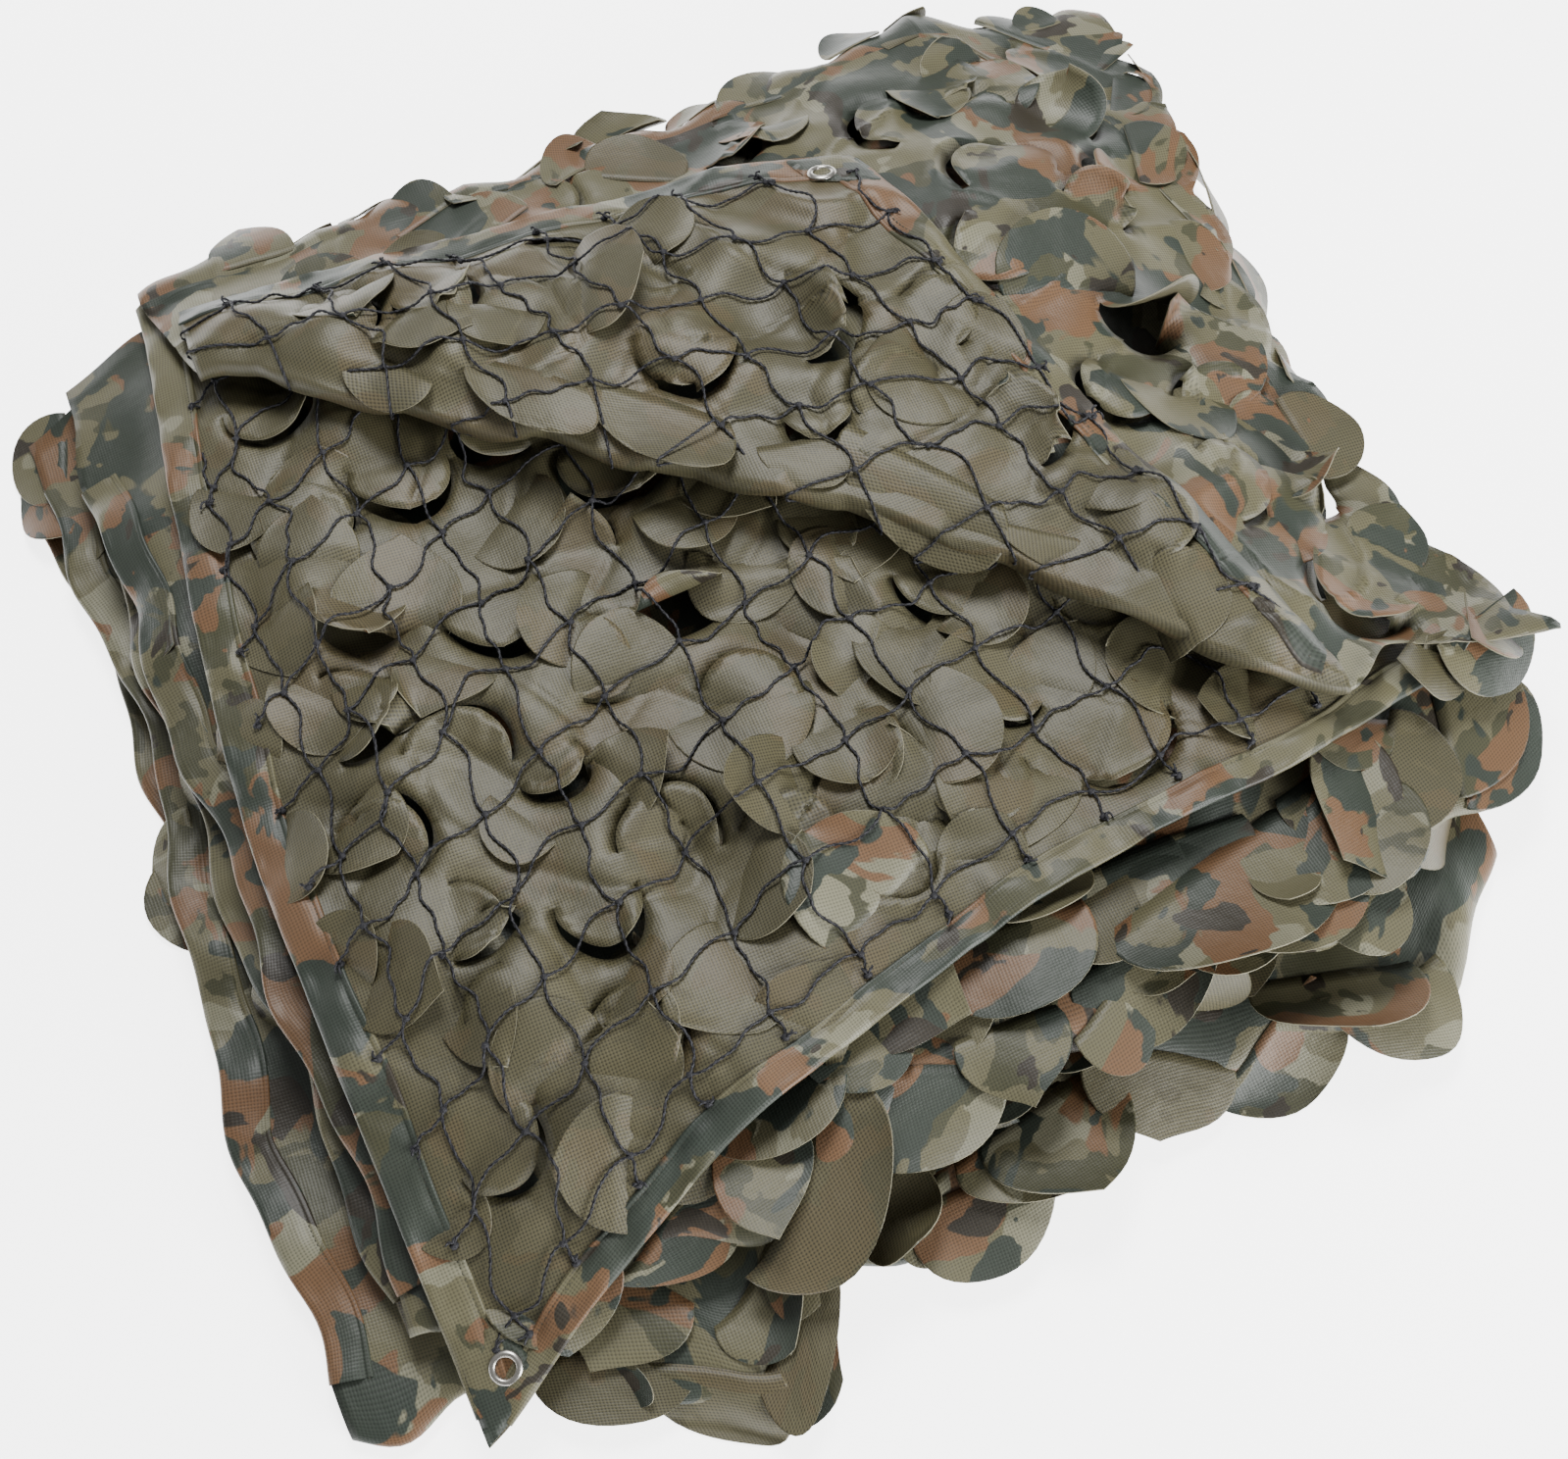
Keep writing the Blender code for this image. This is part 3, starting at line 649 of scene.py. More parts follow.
def new_material(name, roughness):
    """A material, its tree and its shader's inputs."""
    material = bpy.data.materials.new(name)
    material.use_nodes = True
    shader = material.node_tree.nodes["Principled BSDF"]
    shader.inputs["Roughness"].default_value = roughness
    return material, material.node_tree, shader.inputs


def math_node(tree, operation, first, second=None, third=None):
    node = tree.nodes.new("ShaderNodeMath")
    node.operation = operation
    for socket, value in zip(node.inputs, (first, second, third)):
        if isinstance(value, (int, float)):
            socket.default_value = value
        elif value is not None:
            tree.links.new(value, socket)
    return node.outputs[0]


def mixed(tree, share, first, second, blend="MIX"):
    """Mixes two colours."""
    node = tree.nodes.new("ShaderNodeMix")
    node.data_type = "RGBA"
    node.blend_type = blend
    for socket, value in ((node.inputs[0], share), (node.inputs[6], first), (node.inputs[7], second)):
        if isinstance(value, (int, float)):
            socket.default_value = value
        elif isinstance(value, tuple):
            socket.default_value = (*value, 1)
        else:
            tree.links.new(value, socket)
    return node.outputs[2]


# Pressed weave: rows of small dots, the same on both sides of the cloth
WEAVE_PITCH = 0.0019
weave, weave_place, weave_out = shader_group("Pressed weave", "Dots", "NodeSocketFloat")
split = weave.nodes.new("ShaderNodeSeparateXYZ")
weave.links.new(weave_place, split.inputs[0])
warp, weft = [
    math_node(weave, "SINE", math_node(weave, "MULTIPLY", split.outputs[k], 2 * math.pi / WEAVE_PITCH))
    for k in (0, 1)
]
dots = math_node(weave, "MULTIPLY_ADD", math_node(weave, "ADD", warp, weft), 0.25, 0.5)
weave.links.new(dots, weave_out)

# Camouflage print: hard edged blotches laid over each other, in five inks on a khaki ground
KHAKI = (0.107, 0.099, 0.054)
INKS = (
    # ink, colour, blotches to a metre, how rare it is, shift of its pattern
    ("pale", (0.182, 0.176, 0.118), 14.0, 0.570, 7.7),
    ("olive", (0.044, 0.045, 0.022), 18.0, 0.560, 3.1),
    ("terracotta", (0.138, 0.070, 0.032), 14.5, 0.543, 1.3),
    ("slate", (0.021, 0.031, 0.025), 17.5, 0.545, 5.9),
    ("dark brown", (0.020, 0.015, 0.011), 21.0, 0.640, 9.4),
)
BLOTCH_EDGE = 0.004
print_group, print_place, print_out = shader_group("Camouflage print", "Ink", "NodeSocketColor")
ink = KHAKI
for label, colour, scale, threshold, shift in INKS:
    moved = add_node(print_group, "ShaderNodeVectorMath", operation="ADD")
    moved.inputs[1].default_value = (shift, 2.3 * shift, 0.7 * shift)
    print_group.links.new(print_place, moved.inputs[0])
    blotch = noise(
        print_group, moved.outputs[0],
        {"Scale": scale, "Detail": 3.0, "Roughness": 0.48, "Distortion": 0.5},
    )
    edge = add_node(
        print_group, "ShaderNodeMapRange",
        {"From Min": threshold - BLOTCH_EDGE, "From Max": threshold + BLOTCH_EDGE},
    )
    edge.label = label
    print_group.links.new(blotch, edge.inputs["Value"])
    ink = mixed(print_group, edge.outputs["Result"], ink, colour)
print_group.links.new(ink, print_out)


def cloth_material(name, dot_shade, roughness, plain=None, show_through=1.0):
    """Coated cloth: printed, or plain with the print showing faintly through."""
    material, tree, inputs = new_material(name, roughness)
    place = add_node(tree, "ShaderNodeUVMap", uv_map="cut").outputs[0]
    effects = []
    for group in (print_group, weave):
        node = add_node(tree, "ShaderNodeGroup", node_tree=group)
        tree.links.new(place, node.inputs[0])
        effects.append(node.outputs[0])
    colour, weave_dots = effects
    soil = noise(tree, place, {"Scale": 11.0, "Detail": 5.0, "Roughness": 0.6})
    if plain:
        colour = mixed(tree, show_through, plain, colour)
    colour = mixed(tree, math_node(tree, "MULTIPLY", soil, 0.28), colour, tuple(0.66 * c for c in KHAKI))
    shade = math_node(tree, "POWER", weave_dots, 2.2)
    tree.links.new(mixed(tree, shade, colour, (dot_shade,) * 3, "MULTIPLY"), inputs["Base Color"])
    inputs["Specular IOR Level"].default_value = 0.42
    crinkle = noise(tree, place, {"Scale": 55.0, "Detail": 4.0, "Roughness": 0.55})
    crease = noise(
        tree, place, {"Scale": 16.0, "Detail": 3.0, "Roughness": 0.5, "Distortion": 0.8},
        noise_type="RIDGED_MULTIFRACTAL",
    )
    wrinkle = add_node(tree, "ShaderNodeBump", {"Strength": 0.42, "Distance": 0.0020})
    tree.links.new(math_node(tree, "MULTIPLY_ADD", crease, 0.30, crinkle), wrinkle.inputs["Height"])
    pressed = add_node(tree, "ShaderNodeBump", {"Strength": 0.5, "Distance": 0.0002}, invert=True)
    tree.links.new(weave_dots, pressed.inputs["Height"])
    tree.links.new(wrinkle.outputs[0], pressed.inputs["Normal"])
    tree.links.new(pressed.outputs[0], inputs["Normal"])
    return material


olive_back = cloth_material("olive_back", 0.16, 0.51, plain=(0.078, 0.069, 0.034), show_through=0.13)
camo_print = cloth_material("camouflage_print", 0.42, 0.50)
cut_edge, tree, inputs = new_material("pale_cut_edge", 0.8)
soil = noise(tree, None, {"Scale": 240.0, "Detail": 2.0})
tree.links.new(mixed(tree, soil, (0.25, 0.235, 0.160), (0.10, 0.09, 0.055)), inputs["Base Color"])
# Front, back and edge of a thin cloth, by the kind of its faces
FACE_UP = (olive_back, camo_print, cut_edge)
PRINT_UP = (camo_print, olive_back, cut_edge, camo_print, camo_print, cut_edge)

span = np.linspace(0, 1, 60)
front_x = -0.304 + span * 0.734
front_line = np.stack((front_x, run_of(FRONT_HEM, front_x)), 1)
far_x = -0.292 + span * 0.722
far_line = np.stack((far_x, run_of(CREST, far_x) + 0.100), 1)
left_y = front_line[0, 1] + span * (far_line[0, 1] - front_line[0, 1])
left_line = np.stack((run_of(FACE_LEFT, left_y), left_y), 1)
left_line[0] = front_line[0]
far_line[0] = left_line[-1]
right_line = front_line[-1] + np.outer(span, far_line[-1] - front_line[-1])
face_loop = outline_loop((front_line, right_line, far_line[::-1], left_line[::-1]), FACE_STEP)
open_face = face_loop.copy()
open_face[:, 0] = np.maximum(open_face[:, 0], run_of(FACE_LEFT, open_face[:, 1]) + HEM_CLEAR)
open_face[:, 1] = np.maximum(open_face[:, 1], run_of(FRONT_HEM, open_face[:, 0]) + HEM_CLEAR)
face_sheet = cut_stretch(
    face_place, FACE_LEAVES, face_loop, open_face, FACE_STEP, 1, 0.002, 0.0036,
    eyelet_spots["front"][0], 0.070,
)
face_laid, face_beds = laid_leaves(face_place, FACE_LEAVES, face_sheet, 3)
face_cloth = net_piece("cloth_face", [face_sheet], FACE_UP)
face_leaf_cloth = net_piece("leaves_face", face_laid, FACE_UP)


# INNER LAYERS
# Under the face the same cloth goes back and forth four more times, print out at the two front rolls.
# The stretches' hemmed sides show at the left as a fan.
ROLL_ARC = 0.072  # cloth that goes round a roll
NEAR_ROLL = 0.09  # the mesh is finer as near as this to a roll
LOBE = 0.074  # pitch of the leaves cut along an edge
BACK_WRAP = (
    (-0.408, 0.394), (-0.340, 0.424), (-0.280, 0.446), (-0.200, 0.445), (0.080, 0.438), (0.300, 0.470),
    (0.450, 0.442),
)
LAYERS = {
    # line in plan, level above, level below, bulge, way it faces
    "upper_roll": (
        (
            (-0.330, -0.236), (-0.230, -0.246), (-0.130, -0.254), (0.000, -0.226), (0.120, -0.220),
            (0.250, -0.218), (0.330, -0.196), (0.400, -0.164),
        ), 0.61, 0.41, 0.030, -1,
    ),
    "lower_roll": (
        (
            (-0.370, -0.262), (-0.300, -0.268), (-0.220, -0.300), (-0.185, -0.306), (-0.150, -0.344),
            (-0.118, -0.300), (0.000, -0.276), (0.150, -0.245), (0.290, -0.280), (0.340, -0.236),
            (0.410, -0.176),
        ), 0.21, 0.0, 0.034, -1,
    ),
}
SIDES = {
    # left and right edge of each stretch, by its level
    0.61: (
        ((-0.260, -0.318), (-0.120, -0.330), (0.000, -0.338), (0.200, -0.352), (0.400, -0.356)),
        ((-0.200, 0.410), (0.000, 0.384), (0.400, 0.400)),
    ),
    0.41: (
        ((-0.260, -0.328), (-0.100, -0.338), (0.000, -0.350), (0.200, -0.356), (0.400, -0.350)),
        ((-0.200, 0.398), (0.000, 0.388), (0.400, 0.406)),
    ),
    0.21: (
        (
            (-0.280, -0.374), (-0.150, -0.386), (0.000, -0.386), (0.110, -0.368), (0.230, -0.376),
            (0.400, -0.394),
        ),
        ((-0.230, 0.388), (0.000, 0.396), (0.400, 0.416)),
    ),
    0.0: (
        (
            (-0.290, -0.366), (-0.012, -0.374), (0.231, -0.380), (0.330, -0.393), (0.376, -0.406),
            (0.420, -0.380),
        ),
        ((-0.250, 0.374), (0.000, 0.400), (0.400, 0.432)),
    ),
}


def left_of(level, y):
    """A stretch's left edge, a little uneven."""
    sway = 0.0045 * np.sin(y / 0.031 + 11 * level) + 0.0020 * np.sin(y / 0.0127 + 5 * level)
    return run_of(SIDES[level][0], y) + sway


def stretch_height(level, x, y):
    """Height of an inner stretch; the lowest one lies flat on the floor."""
    if level == 0.0:
        return np.full(np.shape(x), SOLID_SHEET / 2 + 0.0004)
    waves = 0.0035 * fullness(x, y) * crumple(x, y, round(100 * level), 0.110, 0.045)
    return layer_height(level, x, y) + waves


def off_roll(w):
    """How far from its roll a place lies, on the stretch above it or the one below."""
    return np.where(w > 0, w, np.where(w < -ROLL_ARC, -ROLL_ARC - w, 0.0))


def fold_place(name):
    """Places points (x, w): w runs along the upper stretch to the fold, round it, and along the lower."""
    line, above, below, bulge, toward = LAYERS[name]

    def place(points):
        x, w = points.T
        fold_at = run_of(line, x)
        turn = np.clip(-w / ROLL_ARC, 0, 1) * math.pi
        y = fold_at - toward * off_roll(w)
        upper = stretch_height(above, x, y)
        lower = stretch_height(below, x, y)
        uneven = 0.85 + 0.25 * np.sin(x / 0.027 + above * 9) + 0.15 * np.sin(x / 0.0117)
        z = (upper + lower) / 2 + (upper - lower) / 2 * np.cos(turn)
        return np.stack((x, y + toward * bulge * uneven * np.sin(turn), z), 1)

    return place


def lobed(at, offset, depth=0.014):
    """An edge that goes in and out with the leaves cut along it."""
    return depth * (np.abs(np.sin(np.pi * (at / LOBE + offset))) - 0.5)


def layer_rows(name, reach_above, reach_below, across):
    """Rows of a folded stretch: steps on the upper one, the roll, and steps on the lower one."""
    line, above, below, _, toward = LAYERS[name]
    steps = np.concatenate((
        np.linspace(reach_above, NEAR_ROLL, 42)[:-1], np.linspace(NEAR_ROLL, 0, 18)[:-1],
        np.linspace(0, -ROLL_ARC, 18), np.linspace(-ROLL_ARC, -ROLL_ARC - NEAR_ROLL, 14)[1:],
        np.linspace(-ROLL_ARC - NEAR_ROLL, -ROLL_ARC - reach_below, 42)[1:],
    ))
    x = np.outer(np.ones(len(steps)), across * 0.75 - 0.34)
    base = np.outer(steps, np.ones(len(across)))
    share = np.clip(-base / ROLL_ARC, 0, 1)
    for _ in range(4):
        reach = run_of(BACK_WRAP, x) + 0.002 - run_of(line, x)
        w = np.where(base > 0, base * reach / reach_above, base)
        w = np.where(base < -ROLL_ARC, -ROLL_ARC + (base + ROLL_ARC) * reach / reach_below, w)
        y = run_of(line, x) - toward * off_roll(w)
        left = left_of(above, y) * (1 - share) + left_of(below, y) * share
        right = (run_of(SIDES[above][1], y) + lobed(y, above + 0.4)) * (1 - share)
        right += (run_of(SIDES[below][1], y) + lobed(y, below + 0.4)) * share
        x = left + (right - left) * across
    return np.stack((x.ravel(), w.ravel()), 1), grid_faces(len(steps), len(across)), fold_place(name)


across = np.linspace(0, 1, 130)
upper_points, upper_faces, upper_place = layer_rows("upper_roll", 0.60, 0.60, across)
lower_points, lower_faces, lower_place = layer_rows("lower_roll", 0.64, 0.66, across)
both_printed = np.where(lower_points[lower_faces[:, 0], 1] < -ROLL_ARC - 0.03, 3, 0)
inner_cloth = net_piece("cloth_inner", [
    (upper_place(upper_points), upper_faces[:, ::-1], upper_points, 0),
    (lower_place(lower_points), lower_faces[:, ::-1], lower_points + (0, 2), both_printed),
], PRINT_UP)


# WRAP AND FLAP
# The last stretch comes up behind the pile and lies over it print up. Its front corner is turned back
# along a crest as a flap, back up, with the netting on it, and its crest is puffed.
FLAP_RISE = 0.015  # how high the flap stands over the wrap at the crest
FLAP_END_RISE = 0.0085
FLAP_STOP = 0.304  # x where the crest ends and the wrap's free lip begins
LIP_END = 0.462
CREST_START = -0.262
PUFF = 0.0240  # the crest has a puff for each leaf, 75 mm or pi times this apart
TOP_STEP = 0.0037
BACK_ARC = 0.10  # cloth that goes round the fold behind the pile
FLAP_CORNER = (0.186, 0.342)
FLAP_END = (
    (-0.262, 0.406), (-0.130, 0.397), (0.000, 0.384), (0.130, 0.362), FLAP_CORNER, (0.246, 0.081),
    (0.300, -0.098), (0.376, -0.091), (0.465, -0.105),
)
WRAP_RIGHT = ((-0.131, 0.462), (0.007, 0.414), (0.137, 0.400), (0.335, 0.432), (0.465, 0.444))
WRAP_LEAVES = (
    # x and y (mm), radius (mm), heading (degrees), how it lies
    (278, 298, 36, 95, "drawn"), (276, 203, 38, 75, "over"), (329, 257, 32, 40, "open"),
    (317, 165, 30, -90, "open"), (358, 292, 30, -180, "drawn"), (307, 96, 32, -110, "over"),
    (363, -56, 38, -120, "drawn"), (336, -1, 31, 0, "over"), (350, 355, 32, 40, "open"),
    (365, 23, 25, -45, "open"), (319, 396, 29, 40, "over"), (228, 376, 28, 145, "drawn"),
    (271, 401, 29, -105, "over"), (379, 212, 30, 0, "over"), (386, -99, 24, 35, "over"),
    (348, 124, 30, 10, "over"), (152, 412, 26, -95, "over"), (399, 340, 28, 15, "over"),
    (359, 63, 24, 30, "over"), (398, -30, 22, 45, "over"),
)
FLAP_LEAVES = (
    # x and y (mm), radius (mm), heading (degrees), how it lies
    (105, 214, 33, -10, "curled"), (192, 90, 31, 20, "open"), (146, 146, 32, -180, "over"),
    (79, 143, 30, -115, "drawn"), (196, -11, 26, -105, "drawn"), (173, 17, 30, 170, "drawn"),
    (-9, 283, 33, -10, "over"), (24, 219, 32, -105, "drawn"), (-19, 233, 24, 140, "point"),
    (96, 331, 28, -85, "drawn"), (145, 215, 27, 60, "drawn"), (-121, 310, 31, -55, "over"),
    (-160, 350, 26, -85, "flat"), (-75, 291, 28, -115, "flat"), (196, 158, 24, 40, "flat"),
    (229, -50, 25, 0, "over"), (262, -112, 15, 35, "open"), (226, 38, 24, -45, "flat"),
    (35, 321, 27, 15, "over"),
)
CREST_LEAVES = (
    # hinge x (mm), distance behind the crest (mm), radius (mm), heading (degrees)
    (-75, 26, 32, -100), (-8, 30, 37, -108), (62, 20, 26, -70), (120, 30, 38, -112), (176, 20, 27, -60),
    (-150, 16, 22, -120),
)


def end_of_flap(x):
    """The flap's hemmed end, with its sharp corner."""
    xs, ys = np.array(FLAP_END).T
    return np.interp(x, xs, ys)


def crest_of(x):
    """The crest's line, scalloped where its leaves puff it out."""
    x = np.asarray(x)
    puffed = 0.005 * np.abs(np.sin(x / PUFF)) * eased((0.24 - x) / 0.1)
    pouch = 0.019 * np.exp(-(((x - 0.352) / 0.030) ** 2))
    return run_of(CREST, x) - puffed + pouch * eased((x - FLAP_STOP) / 0.015)


def wrap_height(x, y):
    """Height of the wrap, whose front lip is lifted at the right."""
    room = fullness(x, y)
    z = layer_height(1.0, x, y) + 0.0042 * room * crumple(x, y, 31, 0.120, 0.040)
    lip = eased((x - 0.300) / 0.050) * (1 - eased((y + 0.130) / 0.060))
    return z + 0.004 * room * creased(x, y, 32, 0.16, 0.07) + 0.018 * lip


def wrap_place(points):
    x, y = points.T
    return np.stack((x, y, wrap_height(x, y)), 1)


def flap_place(points):
    """Puts plan points on the flap, which lies over the wrap between the crest and its own end."""
    x, y = points.T
    start, end = crest_of(x), end_of_flap(x)
    along = np.clip((y - start) / np.maximum(end - start, 0.02), 0, 1)
    rise = FLAP_END_RISE + (FLAP_RISE - FLAP_END_RISE) * (1 - along) + 0.008 * np.sin(math.pi * along)
    rise = rise * (1 - 0.35 * eased((x - 0.240) / 0.065))
    edge = eased(along * 5) * eased((end - y - 0.010) / 0.04)
    relief = 0.0030 * (0.9 + crumple(x, y, 41, 0.085, 0.032)) * edge
    relief = relief - 0.0035 * creased(x, y, 42, 0.13, 0.05) * edge
    z = layer_height(1.0, x, y) + 0.4 * (wrap_height(x, y) - layer_height(1.0, x, y)) + rise + relief
    return np.stack((x, y, flattened(x, y, z, eyelet_spots["back"])), 1)


def evenly(x_low, x_high, line_of, step):
    """Points a step apart along a line over a range of x."""
    x = np.linspace(x_low, x_high, 600)
    line = np.stack((x, line_of(x)), 1)
    run = run_along(line)
    return at_run(line, run, np.linspace(0, run[-1], round(run[-1] / step) + 1))


crest_line = evenly(CREST_START, FLAP_STOP, crest_of, TOP_STEP)
crest_x = crest_line[:, 0]
lip_line = evenly(FLAP_STOP, LIP_END, crest_of, TOP_STEP)
back_line = evenly(-0.286, 0.444, partial(run_of, BACK_WRAP), TOP_STEP)
back_x = back_line[:, 0]
side_y = np.linspace(lip_line[-1, 1], back_line[-1, 1], 140)
side_line = np.stack((run_of(WRAP_RIGHT, side_y) + lobed(side_y, 1.4, 0.018), side_y), 1)
side_line[0], side_line[-1] = lip_line[-1], back_line[-1]
wrap_loop = outline_loop(
    (crest_line, lip_line, side_line, back_line[::-1], (back_line[0], crest_line[0])), TOP_STEP
)
open_wrap = wrap_loop.copy()
under_flap = open_wrap[:, 1] < end_of_flap(open_wrap[:, 0]) - 0.02
open_wrap[under_flap, 1] = end_of_flap(open_wrap[under_flap, 0]) - 0.015
wrap_sheet = cut_stretch(
    wrap_place, WRAP_LEAVES, wrap_loop, open_wrap, TOP_STEP, 3, 0.004, 0.0050, tip=1.4
)

corner_x = FLAP_CORNER[0]
back_hem_x = np.linspace(CREST_START, corner_x, 120)
end_x = np.concatenate((back_hem_x, np.linspace(corner_x, FLAP_STOP, 60)[1:]))
end_line = np.stack((end_x, end_of_flap(end_x)), 1)
flap_loop = outline_loop(
    (crest_line, (crest_line[-1], end_line[-1]), end_line[::-1], (end_line[0], crest_line[0])), TOP_STEP
)
open_flap = flap_loop.copy()
open_low = crest_of(open_flap[:, 0]) + 0.030
open_high = np.maximum(end_of_flap(open_flap[:, 0]) - 0.030, open_low)
open_flap[:, 1] = np.clip(open_flap[:, 1], open_low, open_high)
flap_sheet = cut_stretch(
    flap_place, FLAP_LEAVES, flap_loop, open_flap, TOP_STEP, 5, 0.0, 0.0026,
    eyelet_spots["back"][0], 0.062,
)

turns = np.linspace(0, math.pi, 14)
upper, lower = flap_place(crest_line), wrap_place(crest_line)
bulge = 0.0045 + 0.0035 * np.abs(np.sin(crest_x / PUFF)) + 0.0015 * np.sin(crest_x / 0.0091)
bulge = bulge * (1 - 0.5 * eased((crest_x - 0.250) / 0.05))
crest_rows = [(upper + lower) / 2 + (upper - lower) / 2 * math.cos(turn) for turn in turns]
for row, turn in zip(crest_rows, turns):
    row[:, 1] -= bulge * math.sin(turn)
crest_flat = np.concatenate([crest_line - (0, 0.003 * k) for k in range(len(turns))]) + (0, 1)
crest_sheet = (np.concatenate(crest_rows), grid_faces(len(turns), len(crest_line)), crest_flat, 0)


def back_place(points):
    """Places (-x, w) on the wrap and round the fold behind it, w ahead of the fold on the wrap."""
    x, w = -points[:, 0], points[:, 1]
    turn = np.clip(-w / BACK_ARC, 0, 1) * math.pi
    y = run_of(BACK_WRAP, x) - np.maximum(w, 0)
    z = SOLID_SHEET / 2 + 0.0008 + (wrap_height(x, y) - SOLID_SHEET / 2 - 0.0008) / 2 * (1 + np.cos(turn))
    uneven = 0.030 + 0.007 * np.sin(x / 0.021) + 0.004 * np.sin(x / 0.0093)
    return np.stack((x, y + uneven * np.sin(turn), z), 1)


wrap_laid, _ = laid_leaves(wrap_place, WRAP_LEAVES, wrap_sheet, 8)
flap_laid, flap_beds = laid_leaves(flap_place, FLAP_LEAVES, flap_sheet, 9)
back_w = np.linspace(0, -BACK_ARC, 24)
back_rows = np.stack((np.tile(-back_x, len(back_w)), np.repeat(back_w, len(back_x))), 1)
flap_points, flap_faces, flap_flat, _ = flap_sheet
top_cloth = net_piece("cloth_top", [
    wrap_sheet, (flap_points, flap_faces[:, ::-1], flap_flat + (0, 1), 0), crest_sheet,
    (back_place(back_rows), grid_faces(len(back_w), len(back_x)), back_rows, 0),
], PRINT_UP, sewn=True)
wrap_leaf_cloth = net_piece("leaves_wrap", wrap_laid, PRINT_UP)
flap_leaf_cloth = net_piece("leaves_flap", flap_laid, FACE_UP)


# LOOSE LEAVES
# Where the cloth is rolled or folded, its leaves hang out past the fold and over each other like
# scales. Most show the print, and some are turned and show the olive back.
LEFT_OUT = 0.15  # share of the scales that are left out
SCALE_PITCH = 0.056


def scale_rows(place, rows, x_range, seed, droop, spacing=SCALE_PITCH, sizes=(0.023, 0.046), turned=0.22):
    """Staggered rows of hanging leaves over a fold, of many sizes, with some left out."""
    draw = np.random.default_rng(seed)
    made = []
    for number, (w, heading, tilt) in enumerate(rows):
        for x in np.arange(x_range[0] + spacing * 0.5 * (number % 2), x_range[1], spacing):
            spot = (x + draw.normal(0, 0.010), w + draw.normal(0, 0.009))
            size = draw.uniform(*sizes)
            leaf = hanging_leaf(
                place, spot, heading + draw.normal(0, 0.50), size, tilt + draw.normal(0.02, 0.10),
                draw.normal(0.15, 0.55), droop * draw.uniform(0.4, 1.5), draw,
                point=draw.choice((0.0, 0.0, 0.15, 0.4)), wide=draw.uniform(0.75, 1.3),
            )
            if draw.uniform() > LEFT_OUT:
                made.append(turned_over(leaf, draw.uniform() < turned))
    return made


def crest_place(points):
    """Places (x, w) on the flap, and past its crest hanging down in front of it, w behind the crest."""
    x, w = points.T
    over = np.maximum(-w, 0)
    spots = flap_place(np.stack((x, crest_of(x) + np.maximum(w, 0)), 1))
    spots[:, 1] -= over * 0.75
    spots[:, 2] -= over * 0.55 + over * over * 12
    return spots


def side_place(edge_of, height_of, inwards):
    """What puts (w, y) on a side of a stretch: w is inwards, and past the edge the cloth falls away."""
    def place(points):
        w, y = points[:, 0], inwards * points[:, 1]
        held = edge_of(y) + inwards * np.maximum(w, 0)
        past = np.minimum(w, 0)
        z = np.maximum(height_of(held, y) + 0.9 * past, 0.002)
        return np.stack((held + inwards * past * 0.5, y, z), 1)
    return place


DRAPE_LEAVES = (
    # x (mm), w (mm from the roll), radius (mm), heading (degrees), tilt, bend, width, turned, roll
    (196, 20, 62, -75, 0.10, 0.35, 1.35, 0, 0), (268, 30, 50, -60, 0.08, 0.20, 1.1, 0, 0),
    (330, 24, 36, -50, 0.10, 0.50, 1.0, 1, 0), (120, 34, 36, -80, 0.12, 0.30, 1.0, 1, 0),
    (66, 30, 42, -100, 0.12, 0.20, 1.2, 0, 0), (10, 26, 40, -95, 0.10, 0.30, 1.0, 0, 0),
    (-40, 30, 36, -110, 0.10, 0.15, 1.1, 0, 0), (-96, 30, 40, -105, 0.10, 0.25, 1.2, 0, 0),
    (-150, 30, 34, -110, 0.10, 0.20, 1.0, 1, 0), (130, -10, 38, -80, 0.05, 0.10, 1.2, 0, 0),
    (226, -6, 36, -85, 0.05, 0.20, 1.3, 0, 0), (292, 0, 34, -70, 0.05, 0.40, 1.1, 0, 0),
    (-124, -18, 38, -86, 0.05, 0.20, 0.9, 1, 1), (-106, 6, 30, -85, 0.05, 0.20, 1.0, 0, 1),
    (-2, -24, 42, -94, 0.05, 0.30, 1.1, 0, 1), (272, -14, 42, -80, 0.05, 0.05, 1.1, 0, 1),
    (392, 24, 48, -20, 0.05, 0.15, 1.1, 0, 0), (398, -2, 42, -28, 0.05, 0.10, 1.0, 0, 0),
    (34, -16, 40, -85, 0.05, 0.60, 1.1, 0, 1), (80, -20, 28, -80, 0.05, 0.60, 1.0, 0, 1),
)
down = -math.pi / 2
upper_scales = ((0.050, down, 0.10), (0.012, down, 0.08), (-0.022, down, 0.0))
lower_scales = ((0.024, down, 0.08), (-0.008, down, 0.02), (-0.032, down, -0.10))
front_leaves = scale_rows(upper_place, upper_scales, (-0.24, 0.34), 21, 0.008)
front_leaves += scale_rows(lower_place, lower_scales, (-0.25, 0.26), 22, 0.006)
draw = np.random.default_rng(25)
for x, w, radius, heading, tilt, bend, wide, turned, roll in DRAPE_LEAVES:
    leaf = hanging_leaf(
        (upper_place, lower_place)[roll], (x / 1000, w / 1000), math.radians(heading), radius / 1000,
        tilt + 0.10, bend, 0.010, draw, wide=wide,
    )
    front_leaves.append(turned_over(leaf, turned))
loose_front = net_piece("leaves_front", front_leaves, PRINT_UP)
draw = np.random.default_rng(61)
